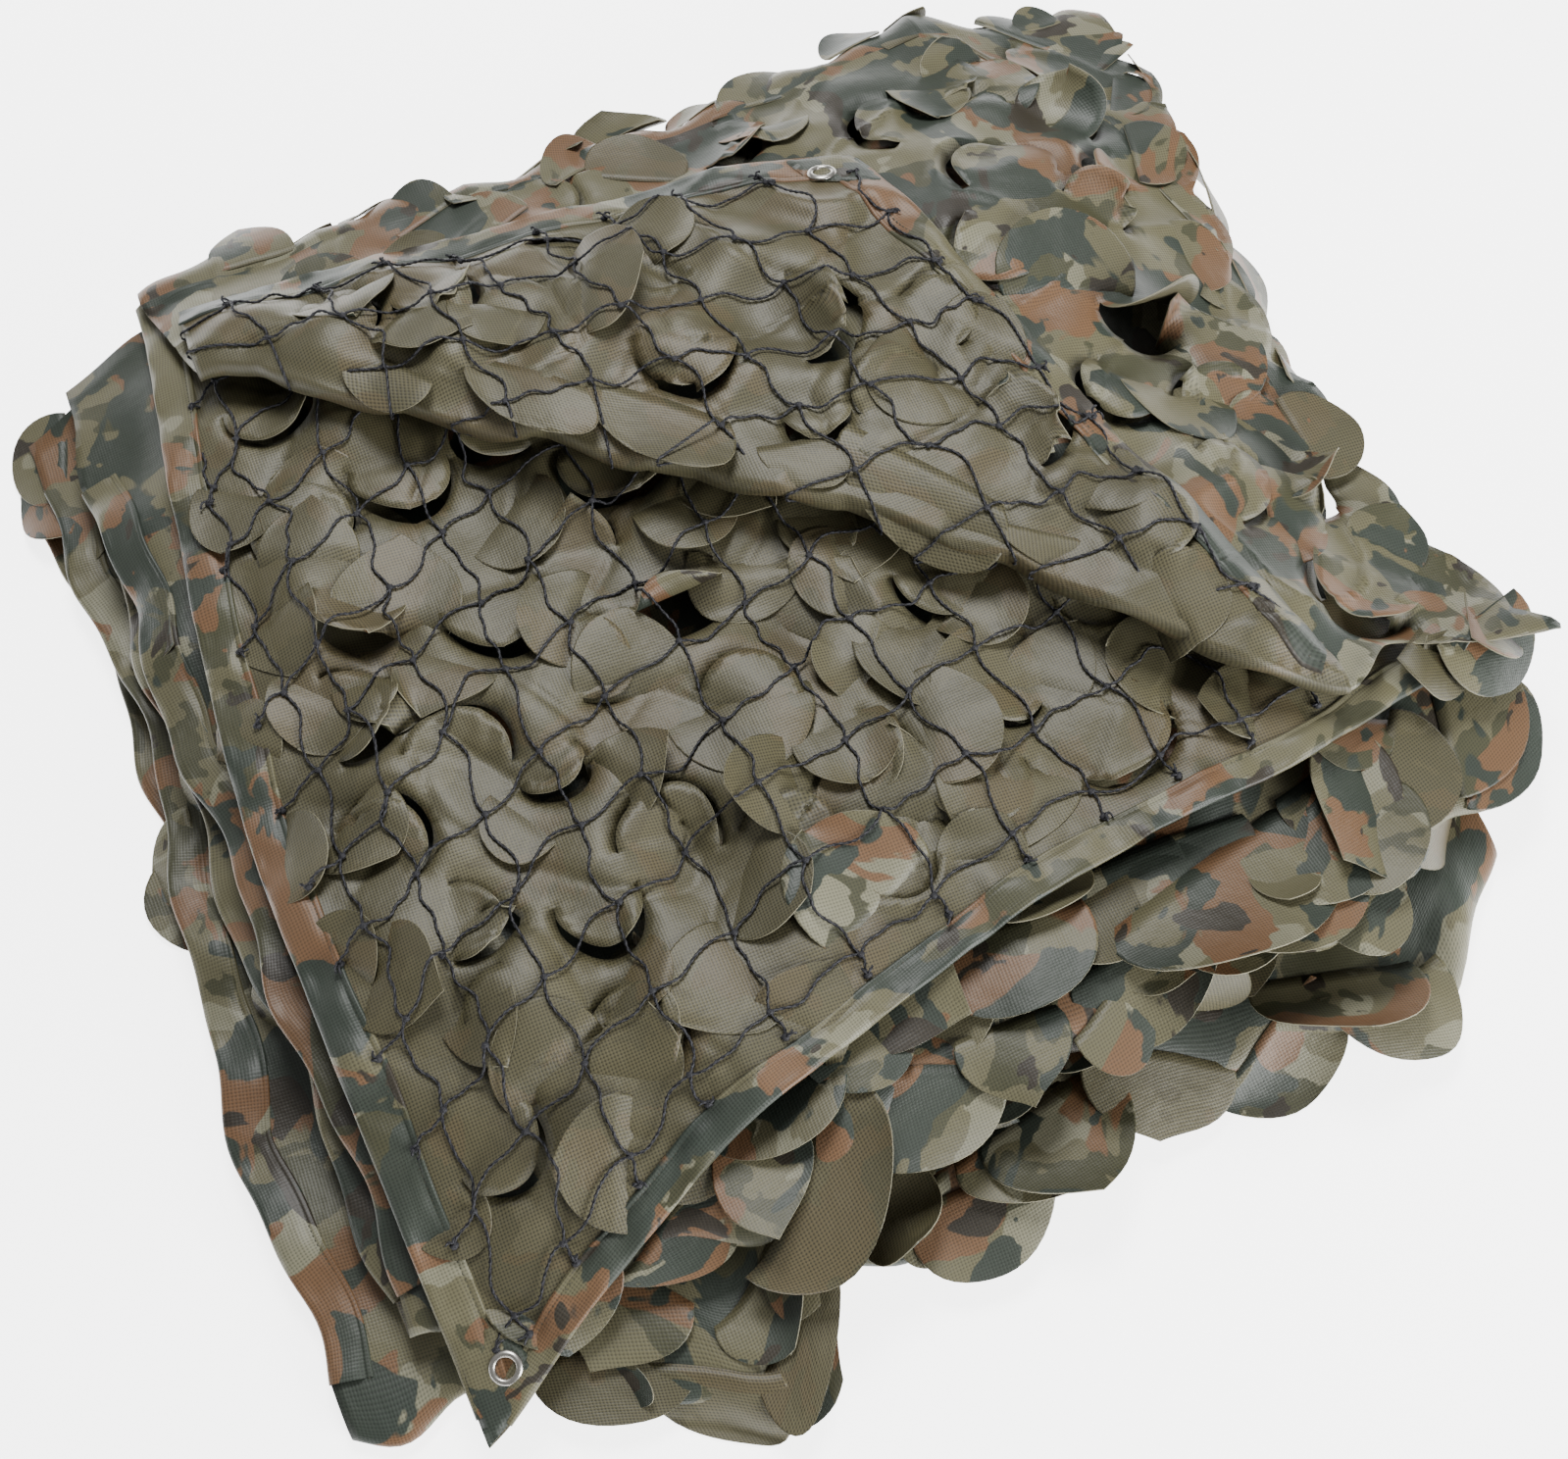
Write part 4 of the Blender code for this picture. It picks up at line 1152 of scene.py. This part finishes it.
crest_leaves = [
    hanging_leaf(
        crest_place, (x / 1000, behind / 1000), math.radians(heading), radius / 1000,
        0.10, -0.15 + draw.normal(0, 0.2), 0.003, draw,
    )
    for x, behind, radius, heading in CREST_LEAVES
]
loose_crest = net_piece("leaves_crest", crest_leaves, FACE_UP)
back_scales = ((0.030, down, 0.1), (-0.004, down, 0.0), (-0.040, down, -0.05))
edge_leaves = []
for x_range, rows, seed, sizes in (
    ((-0.42, -0.26), back_scales, 51, (0.020, 0.034)),
    ((-0.24, -0.07), ((-0.034, down, -0.15),), 52, (0.020, 0.034)),
    ((-0.06, 0.24), back_scales, 53, (0.024, 0.038)),
):
    edge_leaves += scale_rows(back_place, rows, x_range, seed, 0.004, 0.060, sizes, 0.3)
draw = np.random.default_rng(71)
right_place = side_place(partial(run_of, WRAP_RIGHT), wrap_height, -1)
for y in np.arange(0.06, 0.42, 0.064):
    for w in (0.018, -0.012):
        leaf = hanging_leaf(
            right_place, (w + draw.normal(0, 0.005), draw.normal(0, 0.010) - y),
            math.pi + draw.normal(0, 0.35), draw.uniform(0.025, 0.034),
            draw.normal(0.0, 0.12), draw.normal(-0.1, 0.25), 0.004, draw,
        )
        edge_leaves.append(turned_over(leaf, draw.uniform() >= 0.7))
LIP_LEAVES = (
    # x and y (mm) on the wrap's front edge, radius (mm), heading (degrees), tilt, bend, turned
    (384, -108, 34, -58, -0.30, -0.30, 1), (424, -114, 38, -72, -0.6, -0.3, 0),
    (410, -116, 30, -90, -0.9, -0.3, 1), (428, -98, 30, -35, -0.6, -0.3, 0),
)
for x, y, radius, heading, tilt, bend, turned in LIP_LEAVES:
    leaf = hanging_leaf(
        wrap_place, (x / 1000, y / 1000), math.radians(heading), radius / 1000, tilt, bend, 0.004, draw,
        wide=1.1,
    )
    edge_leaves.append(turned_over(leaf, turned))
LEFT_LEAVES = (
    # level, y (mm), radius (mm), heading (degrees), tilt, bend, turned
    (0.21, 62, 34, 190, -0.3, -0.5, 0), (0.21, 128, 30, 170, -0.3, -0.9, 0),
    (0.41, 180, 28, 200, -0.2, -0.8, 1), (0.41, 96, 30, 175, -0.3, -0.6, 0),
    (0.61, 210, 26, 185, -0.2, -0.9, 0), (0.21, 360, 36, 150, -0.1, -0.2, 0),
    (0.21, 322, 24, 185, -0.2, -0.6, 0), (0.21, 388, 32, 165, -0.1, -0.2, 0),
    (0.0, 44, 36, 215, 0.0, 0.1, 0), (0.41, -60, 24, 190, -0.4, -0.8, 0),
    (0.61, -130, 22, 185, -0.4, -0.9, 1), (0.61, 20, 24, 170, -0.4, -0.8, 0),
    (0.61, 110, 28, 190, -0.4, -0.8, 0),
)
for level, y, radius, heading, tilt, bend, turned in LEFT_LEAVES:
    left_place = side_place(partial(left_of, level), partial(stretch_height, level), 1)
    leaf = hanging_leaf(
        left_place, (0.012, y / 1000), math.radians(heading), radius / 1000, tilt, bend, 0.004, draw,
        wide=1.2, point=draw.choice((0.0, 0.3)),
    )
    edge_leaves.append(turned_over(leaf, turned))
loose_edge = net_piece("leaves_back_and_sides", edge_leaves, PRINT_UP)


# HEMS
# The cut edges that are sewn are turned over 25 mm and stitched, so the print shows on them. Each is
# a band laid over its edge: rolled at the fold, flat over the cloth, with a row of stitches inside.
HEM_PROFILE = (
    # distance inside the fold, height over the cloth's middle (mm)
    (0.6, -0.5), (-0.7, -0.3), (-1.2, 0.5), (-0.7, 1.4), (0.8, 2.0), (4.0, 2.1), (9.0, 1.9), (14.0, 1.9),
    (18.0, 1.7), (20.6, 1.1), (21.4, 0.9), (22.2, 1.2), (24.2, 1.4), (25.0, 1.0), (25.3, 0.4),
)
HEM_STEP = 0.0030
HEM_THICK = 1.25  # how puffy the hems are against their profile
NARROW = 0.78  # width of the front hem that shows, as it leans away
STITCH_LINE = 0.0214
STITCH_PITCH = 0.0034
STITCH = (
    # the seven corners of a stitch: along, beside and over it (mm)
    (-1.2, 0, -0.2), (-0.5, 0.36, 0.15), (-0.5, -0.36, 0.15), (0.5, 0.36, 0.15), (0.5, -0.36, 0.15),
    (1.2, 0, -0.2), (0.0, 0.0, 0.50),
)
STITCH_SIDES = ((0, 2, 1), (1, 2, 6), (1, 6, 3), (2, 4, 6), (3, 6, 4), (3, 4, 5))


def line_along(points, step):
    """A line stepped evenly, and the way inwards (left of the way it runs) at each step."""
    points = np.asarray(points, float)
    run = run_along(points)
    at = np.linspace(0, run[-1], max(2, round(run[-1] / step) + 1))
    line = at_run(points, run, at)
    way = np.gradient(line, axis=0)
    kernel = np.ones(5) / 5
    way = unit(np.stack([np.convolve(np.pad(way[:, k], 2, "edge"), kernel, "valid") for k in (0, 1)], 1))
    return line, np.stack((-way[:, 1], way[:, 0]), 1), at


def hem_band(place, edge, seed, narrow):
    """A hem's band along an edge."""
    line, inward, at = line_along(edge, HEM_STEP)
    draw = np.random.default_rng(seed)
    phase = draw.uniform(0, 6, 3)
    puff = 1 + 0.35 * np.sin(at / 0.013 + phase[0]) + 0.30 * np.sin(at / 0.0061 + phase[1])
    rows = []
    for distance, height in HEM_PROFILE:
        wander = 0.0010 * np.sin(at / 0.019 + phase[2] + distance / 9)
        wander = wander + 0.0012 * np.sin(at / 0.047 + phase[1])
        shift = narrow * distance / 1000 + wander * min(1.0, max(distance, 0) / 6)
        flat = line + inward * shift[:, None]
        lift = height / 1000 * HEM_THICK * (puff if 2 < distance < 19 else 1.0)
        rows.append(place(flat) + normals_of(place, flat) * np.broadcast_to(lift, len(line))[:, None])
    flats = [np.stack((at, np.full(len(at), distance / 1000)), 1) for distance, _ in HEM_PROFILE]
    flats = np.concatenate(flats) + draw.uniform(-3, 3, 2)
    return np.concatenate(rows), grid_faces(len(rows), len(line)), flats, 0


def stitches(place, edge, at_distance, lift):
    """Lumps of thread, one for each stitch."""
    line, inward, _ = line_along(edge, STITCH_PITCH)
    flat = line + inward * at_distance
    up = normals_of(place, flat)
    centre = place(flat) + up * lift
    way = unit(np.gradient(centre, axis=0))
    side = np.cross(up, way)
    points = [centre + way * a / 1000 + side * b / 1000 + up * c / 1000 for a, b, c in STITCH]
    points = np.stack(points, 1).reshape(-1, 3)
    faces = [tuple(7 * k + c for c in corner) for k in range(len(centre)) for corner in STITCH_SIDES]
    return points, faces, np.zeros((len(points), 2)), 0


def layer_place(level):
    """What puts plan points on an inner stretch."""
    def place(points):
        x, y = points.T
        return np.stack((x, y, stretch_height(level, x, y)), 1)
    return place


def side_edge(level, low, high):
    """A stretch's left edge, from the back to the front."""
    y = np.linspace(high, low, 90)
    return np.stack((left_of(level, y), y), 1)


def trimmed(line, start, end):
    """A line without so much of its start and its end."""
    run = run_along(line)
    return at_run(line, run, np.linspace(start, run[-1] - end, len(line)))


flap_back_edge = end_line[end_line[:, 0] <= FLAP_CORNER[0]][::-1]
flap_right_edge = end_line[end_line[:, 0] >= FLAP_CORNER[0]][::-1]
face_front_edge = front_line[front_line[:, 0] < 0.425]
face_left_edge = left_line[::-1]
hem_edges = [
    (face_place, trimmed(face_left_edge, 0.0, 0.016), 81, 1.0),
    (face_place, trimmed(face_front_edge, 0.016, 0.0), 82, NARROW),
    (flap_place, trimmed(flap_back_edge, 0.006, 0.0), 83, 1.0),
    (flap_place, trimmed(flap_right_edge, 0.0, 0.006), 94, 1.0),
]
for level, low, high, seed in (
    (0.61, -0.236, 0.33, 85), (0.41, -0.236, 0.34, 86), (0.21, -0.262, 0.36, 87), (0.0, -0.262, 0.38, 88),
):
    hem_edges.append((layer_place(level), side_edge(level, low, high), seed, 1.0))
hems = net_piece("hems", [hem_band(*edge) for edge in hem_edges], (camo_print,))
stitch_pieces = [
    stitches(place, edge, STITCH_LINE * narrow, 0.0011) for place, edge, _, narrow in hem_edges
]
stitch_pieces.append(stitches(flap_place, flap_right_edge, STITCH_LINE - 0.0035, 0.0018))
thread_paint, tree, inputs = new_material("hem_thread", 0.7)
ply = noise(tree, None, {"Scale": 900.0, "Detail": 2.0})
tree.links.new(mixed(tree, ply, (0.020, 0.021, 0.013), (0.050, 0.050, 0.032)), inputs["Base Color"])
hem_stitches = net_piece("hem_stitches", stitch_pieces, (thread_paint,), replaced=())


# HEM CORNERS AND EYELETS
# Where two hems meet the cloth is folded once more into a flat corner, and a nickel eyelet with a
# rolled rim is pressed through all of it.
CORNER_SIDE = 0.046


def hem_corner(place, first, second, eyelet):
    """A doubled corner between two edges that meet: points, faces and flat places."""
    first, second = np.asarray(first, float), np.asarray(second, float)
    tip = first[0]
    a, b = (at_run(line, run_along(line), CORNER_SIDE) for line in (first, second))
    inner = a + (b - tip) * 0.75
    loop = outline_loop(((tip, a), (a, inner), (inner, b), (b, tip)), HEM_STEP)
    area = loop[:, 0] @ np.roll(loop[:, 1], -1) - loop[:, 1] @ np.roll(loop[:, 0], -1)
    if area < 0:
        loop = loop[::-1]
    flat, faces, _ = cut_sheet(loop, [], HEM_STEP, [eyelet[:2]])
    edge = np.array([np.linalg.norm(loop - p, axis=1).min() for p in flat])
    height = 0.0012 + 0.0014 * eased(edge / 0.0035)
    points = place(flat) + normals_of(place, flat) * height[:, None]
    return points, faces, flat, 0


corner_places = {
    "front": (face_place, face_left_edge[::-1], face_front_edge),
    "back": (flap_place, flap_back_edge, flap_right_edge[::-1]),
}
for name, edges in corner_places.items():
    piece = hem_corner(*edges, eyelet_spots[name][0])
    net_piece(
        "hem_corner_finish_" + name, [piece], (camo_print, camo_print, cut_edge),
        replaced=("hem_corner_" + name,),
    )
RIM = (
    # radius, height over the cloth (mm), from the hole's far side over the rolled rim to its lip
    (5.7, -3.2), (5.6, -1.0), (5.7, 0.6), (6.1, 1.35), (6.9, 1.8), (7.8, 1.85), (8.7, 1.5), (9.4, 0.9),
    (9.8, 0.3), (9.75, -0.1), (9.3, -0.2),
)
nickel, tree, inputs = new_material("nickel", 0.3)
inputs["Metallic"].default_value = 1.0
place = add_node(tree, "ShaderNodeTexCoord").outputs["Object"]
rub = noise(tree, place, {"Scale": 420.0, "Detail": 4.0, "Roughness": 0.6})
tree.links.new(mixed(tree, rub, (0.52, 0.50, 0.46), (0.30, 0.29, 0.27)), inputs["Base Color"])
tree.links.new(math_node(tree, "MULTIPLY_ADD", rub, 0.35, 0.14), inputs["Roughness"])
turns = once_round(48)
for name, (centre, normal) in eyelet_spots.items():
    side = np.cross(normal, (0.3, 1.0, 0.0))
    side /= np.linalg.norm(side)
    other = np.cross(normal, side)
    rows = []
    for number, (radius, height) in enumerate(RIM):
        crimp = 1 + 0.004 * np.cos(11 * turns) * (number > 6)
        ring = np.outer(np.cos(turns) * crimp, side) + np.outer(np.sin(turns) * crimp, other)
        rows.append(centre + ring * radius / 1000 + normal * (height + 1.0) / 1000)
    size = len(turns)
    faces = [
        (size * k + i, size * k + (i + 1) % size, size * (k + 1) + (i + 1) % size, size * (k + 1) + i)
        for k in range(len(RIM) - 1) for i in range(size)
    ]
    rim = (np.concatenate(rows), faces, np.zeros((size * len(RIM), 2)), 0)
    net_piece("eyelet_rim_" + name, [rim], (nickel,), ("eyelet_" + name,))


# NETTING
# Black two-ply twine, knotted into 50 mm meshes. It lies slack on the cloth's back, each end tied
# through the hems' stitching.
TWINE = 0.00108  # radius of the twine
TWIST = 0.0080  # length of one turn of its two plies
# pitch of the grey stripes painted along the twine as a highlight on its plies
PLY_HIGHLIGHT_PITCH = 0.0026
TWINE_STEP = 0.0013
TWINE_CLEAR = 0.0003
KNOT = 0.0021  # radius of a knot
TIE_LUMP = 0.0024
MESH_PITCH = 0.0495
HEM = 0.025
TIE_PAST = 0.0015  # how far past their stitches the hems have the twines tied to them
FACE_COLUMNS = (
    # x of the first knot, and how far each next knot leans (mm)
    (-266, -1.3), (-229, -2.2), (-183, -2.2), (-133, -3.0), (-81, -5.0), (-25, -6.0), (31, -7.0),
    (86, -10.0), (138, -10.7), (188, -9.5), (238, -9.5), (288, -9.0),
)
FIRST_KNOT = 0.038  # distance of the first knot from the front hem's fold
FACE_PITCH = 0.0538
FACE_ROWS = range(1, 14)
FLAP_LINES = range(9)
black_twine, tree, inputs = new_material("black_twine", 0.55)
inputs["Specular IOR Level"].default_value = 0.2
place = add_node(tree, "ShaderNodeTexCoord").outputs["Object"]
fibres = noise(tree, place, {"Scale": 2200.0, "Detail": 3.0})
fibre_colour = mixed(tree, fibres, (0.002, 0.002, 0.003), (0.006, 0.006, 0.009))
# Grey stripes that wind along and round the twine: a painted highlight where the plies' bumps would catch
# the light, over the black fibres
split = tree.nodes.new("ShaderNodeSeparateXYZ")
tree.links.new(add_node(tree, "ShaderNodeUVMap", uv_map="cut").outputs[0], split.inputs[0])
ply_highlight = math_node(tree, "MULTIPLY", split.outputs[0], 2 * math.pi / PLY_HIGHLIGHT_PITCH)
ply_highlight = math_node(tree, "SINE", math_node(tree, "MULTIPLY_ADD", split.outputs[1], 2 / TWINE, ply_highlight))
ply_highlight = math_node(tree, "MULTIPLY_ADD", ply_highlight, 0.5, 0.5)
tree.links.new(mixed(tree, ply_highlight, fibre_colour, (0.040, 0.040, 0.045)), inputs["Base Color"])
rough = add_node(tree, "ShaderNodeBump", {"Strength": 0.5, "Distance": 0.0002})
tree.links.new(fibres, rough.inputs["Height"])
tree.links.new(rough.outputs[0], inputs["Normal"])


def lain(bed, flat, missing):
    """Heights of a twine over what it lies on: over the high places, and straight between them."""
    heights = bed_height(bed, flat, missing)
    reach = 4
    padded = np.pad(heights, reach, "edge")
    high = np.max([padded[k:k + len(heights)] for k in range(2 * reach + 1)], axis=0)
    for _ in range(2):
        padded = np.pad(high, 3, "edge")
        high = np.mean([padded[k:k + len(heights)] for k in range(7)], axis=0)
    return np.maximum(high, heights) + TWINE + TWINE_CLEAR


def slack_line(knots, draw):
    """A twine's way through its knots: it bows and waves a little between them."""
    pieces = []
    for a, b in zip(knots[:-1], knots[1:]):
        a, b = np.asarray(a), np.asarray(b)
        length = np.linalg.norm(b - a)
        if length < 1e-6:
            continue
        across = np.array((-(b - a)[1], (b - a)[0])) / length
        share = np.linspace(0, 1, max(3, round(length * 1.03 / TWINE_STEP)))[:-1]
        size = min(1.0, length / 0.05)
        bow = draw.normal(0, 0.0042) * np.sin(math.pi * share)
        bow += draw.choice((-1, 1)) * 0.0032 * draw.uniform(0.4, 1.4) * np.sin(2 * math.pi * share)
        bow += draw.normal(0, 0.0009) * np.sin(5 * math.pi * share)
        pieces.append(a + np.outer(share, b - a) + np.outer(bow * size, across))
    pieces.append(np.asarray(knots[-1])[None])
    line = np.concatenate(pieces)
    for _ in range(3):
        line[1:-1] = 0.25 * line[:-2] + 0.5 * line[1:-1] + 0.25 * line[2:]
    return line


def twine_tube(path, phase=0.0, thickness=TWINE):
    """A two-ply twine along a path, its two strands twisted round each other."""
    way = unit(np.gradient(path, axis=0), 1e-12)
    side = unit(np.cross(way, (0.0, 0.0, 1.0)), 1e-9)
    up = np.cross(side, way)
    run = run_along(path)
    turns = once_round(8)
    radius = thickness * (0.62 + 0.38 * np.cos(turns) ** 2)
    points = []
    for k, spot in enumerate(path):
        turned = turns + phase + 2 * math.pi * run[k] / TWIST
        points.append(
            spot + np.outer(np.cos(turned) * radius, side[k]) + np.outer(np.sin(turned) * radius, up[k])
        )
    first = 8 * np.arange(len(path) - 1)
    faces = []
    for i in range(8):
        j = (i + 1) % 8
        faces.append(np.stack((first + i, first + j, first + 8 + j, first + 8 + i), 1))
    flat = np.stack((np.repeat(run, 8), np.tile(turns, len(path)) * thickness), 1)
    return np.concatenate(points), np.concatenate(faces), flat, 0


def knot_lump(spot, draw, size=KNOT):
    """A small tight knot: three turns of twine as one lump."""
    rings, columns = 7, 9
    a = np.linspace(0.15, math.pi - 0.15, rings)
    b = once_round(columns)
    radius = size * (1 + 0.16 * np.sin(3 * b[None, :] + 2.5 * a[:, None] + draw.uniform(0, 6)))
    x = radius * np.sin(a)[:, None] * np.cos(b) * 1.15
    y = radius * np.sin(a)[:, None] * np.sin(b) * 0.95
    z = radius * np.cos(a)[:, None] * 0.75
    points = np.stack((x.ravel(), y.ravel(), z.ravel()), 1) + spot
    points = np.concatenate((points, [spot + (0, 0, 0.75 * size), spot - (0, 0, 0.75 * size)]))
    top, bottom, last = rings * columns, rings * columns + 1, (rings - 1) * columns
    faces = []
    for i in range(columns):
        j = (i + 1) % columns
        for start in range(0, last, columns):
            faces.append((start + i, start + columns + i, start + columns + j))
            faces.append((start + i, start + columns + j, start + j))
        faces += [(top, i, j), (bottom, last + j, last + i)]
    return points, faces, np.zeros((len(points), 2)), 0


def tie_end(spot, draw):
    """The tied end of a twine at a hem: a lump with two short tails."""
    pieces = [knot_lump(spot + (0, 0, 0.0012), draw, TIE_LUMP)]
    for _ in range(2):
        heading = draw.uniform(0, 2 * math.pi)
        reach = draw.uniform(0.003, 0.007)
        share = np.linspace(0, 1, 7)
        turn = heading + draw.normal(0, 0.9) * share
        lift = 0.0016 + 0.0022 * np.sin(share * 2.6)
        path = spot + np.stack((np.cos(turn) * share * reach, np.sin(turn) * share * reach, lift), 1)
        pieces.append(twine_tube(path, thickness=TWINE * 0.85))
    return pieces


def round_the_edge(flat, z, bed):
    """Carries a twine on to the edge of what it lies on, over it and back underneath."""
    way = flat[-1] - flat[max(-6, -len(flat))]
    way /= np.linalg.norm(way)
    ahead = flat[-1] + np.outer(np.arange(1, 40) * TWINE_STEP, way)
    found = bed_height(bed, ahead, np.full(len(ahead), -1.0))
    last = int(np.argmax(found < 0)) if (found < 0).any() else 12
    level = np.append(z[-1], np.maximum(found[:last], 0.02) + TWINE + TWINE_CLEAR)
    level = np.convolve(np.pad(level, 2, "edge"), np.ones(5) / 5, "valid")
    end = np.concatenate((flat[-1:], ahead[:last]))
    turn = np.linspace(0, math.pi, 9)[1:]
    bow = end[-1] + np.outer(np.sin(turn) * 0.003, way)
    drop = level[-1] - 0.004 * (1 - np.cos(turn))
    back = bow[-1] - np.outer(np.arange(1, 9) * TWINE_STEP, way)
    down = drop[-1] - np.arange(1, 9) * 0.0009
    heights = np.concatenate((z[:-1], np.maximum(level, level[-1]), drop, down))
    return np.concatenate((flat[:-1], end, bow, back)), heights


def strands_through(knots, along, numbers, start_of, end_of):
    """One strand for each line of knots that share a number, from a tie at a hem: ties and strands."""
    ties, strands = [], []
    for number in numbers:
        keys = sorted(key for key in knots if key[along] == number)
        if keys:
            ties.append(start_of(number, knots[keys[0]]))
            strands.append([ties[-1]] + keys + [end_of(knots[keys[-1]])])
    return ties, strands


def net_pieces(lines, knots, beds, place, seed, over_edge=False):
    """All twines, knots and tied ends of one stretch of netting."""
    draw = np.random.default_rng(seed)
    height = {}
    for key, (x, y) in knots.items():
        around = [(x + 0.004 * math.cos(t), y + 0.004 * math.sin(t)) for t in np.linspace(0, 5.2, 6)]
        around.append((x, y))
        low = place(np.array(around))[:, 2]
        height[key] = bed_height(beds, around, low).max() + TWINE + 2 * TWINE_CLEAR
    pieces = []
    for start, *keys, end in [strand for _, strands in lines for strand in strands]:
        flat = slack_line([start] + [knots[key] for key in keys] + [end], draw)
        z = lain(beds, flat, place(flat)[:, 2])
        for key in keys:
            share = 1 - eased(np.linalg.norm(flat - knots[key], axis=1) / 0.012)
            z = np.maximum(z + (height[key] - z) * share, z)
        if over_edge:
            flat, z = round_the_edge(flat, z, beds)
        pieces.append(twine_tube(np.concatenate((flat, z[:, None]), 1), draw.uniform(0, 6)))
    for key, (x, y) in knots.items():
        pieces.append(knot_lump(np.array((x, y, height[key])), draw))
    for x, y in [tie for ties, _ in lines for tie in ties]:
        spot = np.array((x, y, bed_height(beds, [(x, y)], place(np.array([(x, y)]))[:, 2])[0] + TWINE))
        pieces += tie_end(spot, draw)
    return pieces


# Netting on the face: its columns start at the front hem, and its rows at the left one
face_knots = {}
for i, (x_first, lean) in enumerate(FACE_COLUMNS, 1):
    for j in FACE_ROWS:
        x = (x_first + lean * (j - 1)) / 1000
        y = float(run_of(FRONT_HEM, x_first / 1000)) + FIRST_KNOT + FACE_PITCH * (j - 1)
        x += 0.003 * math.sin(2.1 * i + 1.7 * j)
        y += 0.003 * math.sin(1.3 * i + 2.6 * j)
        if y < float(run_of(CREST, x)) + 0.030 and x > float(run_of(FACE_LEFT, y)) + 0.026:
            face_knots[(i, j)] = np.array((x, y))


def front_tie(column, _):
    x = FACE_COLUMNS[column - 1][0] / 1000 + 0.002
    return np.array((x, float(run_of(FRONT_HEM, x)) + STITCH_LINE + TIE_PAST))


def left_tie(_, first):
    y = first[1] - 0.012
    return np.array((float(run_of(FACE_LEFT, y)) + STITCH_LINE + TIE_PAST, y))


columns = range(1, len(FACE_COLUMNS) + 1)
face_lines = (
    strands_through(face_knots, 0, columns, front_tie, lambda last: last + (0.0, 0.030)),
    strands_through(face_knots, 1, FACE_ROWS, left_tie, lambda last: last + (0.034, 0.012)),
)
face_net = net_pieces(face_lines, face_knots, face_beds, face_place, 91)
net_piece("netting_twine_face", face_net, (black_twine,), ("netting_face",))

# Netting on the flap: its lines start at the back and the right hem, and go over the crest
corner = np.array(FLAP_CORNER)
back_way = np.array(FLAP_END[0]) - corner
back_way /= np.linalg.norm(back_way)
right_way = np.array(FLAP_END[6]) - corner
right_way /= np.linalg.norm(right_way)
flap_knots = {}
for i in FLAP_LINES:
    for j in FLAP_LINES:
        spot = corner + right_way * (HEM + MESH_PITCH * j) + back_way * (HEM + MESH_PITCH * i)
        spot = spot + 0.004 * np.array((math.sin(2.1 * i + 1.7 * j), math.sin(1.3 * i + 2.6 * j)))
        if spot[1] > float(crest_of(spot[0])) + 0.006 and i + j > 0:
            flap_knots[(i, j)] = spot


def back_tie(_, first):
    x = first[0] - 0.003
    return np.array((x, float(end_of_flap(x)) - STITCH_LINE - TIE_PAST))


def right_tie(_, first):
    return first - back_way * (HEM - STITCH_LINE)


flap_lines = (
    strands_through(flap_knots, 0, FLAP_LINES, back_tie, lambda last: last + right_way * 0.004),
    strands_through(flap_knots, 1, FLAP_LINES, right_tie, lambda last: last + back_way * 0.004),
)
flap_beds += [cloth_bed(crest_sheet), cloth_bed(*crest_leaves)]
flap_net = net_pieces(flap_lines, flap_knots, flap_beds, flap_place, 92, True)
net_piece("netting_twine_flap", flap_net, (black_twine,), ("netting_flap",))


# FLOOR, LIGHT AND CAMERA
# A pale studio floor that glows a little, a soft light above and behind the pile, and a wider one in
# front of it at the right. The camera looks down on the pile from its front left.
FLOOR_HALF = 6.0
FLOOR_DROP = -0.0005
floor_data = bpy.data.meshes.new("studio_floor")
corners = [(x * FLOOR_HALF, y * FLOOR_HALF, FLOOR_DROP) for x, y in ((-1, -1), (1, -1), (1, 1), (-1, 1))]
floor_data.from_pydata(corners, [], [(0, 1, 2, 3)])
floor_paint, _, inputs = new_material("floor_paint", 0.9)
inputs["Base Color"].default_value = (0.93, 0.93, 0.93, 1)
inputs["Emission Color"].default_value = (1.0, 1.0, 1.0, 1)
inputs["Emission Strength"].default_value = 3.8
floor_data.materials.append(floor_paint)
placed("studio_floor", floor_data)

room = bpy.data.worlds.new("room")
bpy.context.scene.world = room
room.use_nodes = True
room.node_tree.nodes["Background"].inputs["Color"].default_value = (1.0, 1.0, 1.0, 1)
room.node_tree.nodes["Background"].inputs["Strength"].default_value = 0.37
for label, place, size, power in (
    ("light_above", (0.2, 0.95, 2.0), 0.8, 69.0),
    ("light_front", (1.1, -1.8, 0.8), 1.2, 94.0),
):
    lamp = bpy.data.lights.new(label, "AREA")
    lamp.size = size
    lamp.energy = power
    light = placed(label, lamp)
    light.location = place
    light.rotation_euler = (Vector((0, 0, 0.05)) - Vector(place)).to_track_quat("-Z", "Y").to_euler()

FILM = 36.0
lens = bpy.data.cameras.new("camera")
lens.lens = 2100 / 1599 * FILM
lens.sensor_width = FILM
camera = placed("camera", lens)
azimuth, elevation, distance = math.radians(-22), math.radians(65), 1.27
towards = Vector((
    math.sin(azimuth) * math.cos(elevation), -math.cos(azimuth) * math.cos(elevation), math.sin(elevation)
))
camera.location = Vector((-MIDDLE[0], -MIDDLE[1], 0.05)) + towards * distance
camera.rotation_euler = towards.to_track_quat("Z", "Y").to_euler()
bpy.context.scene.camera = camera
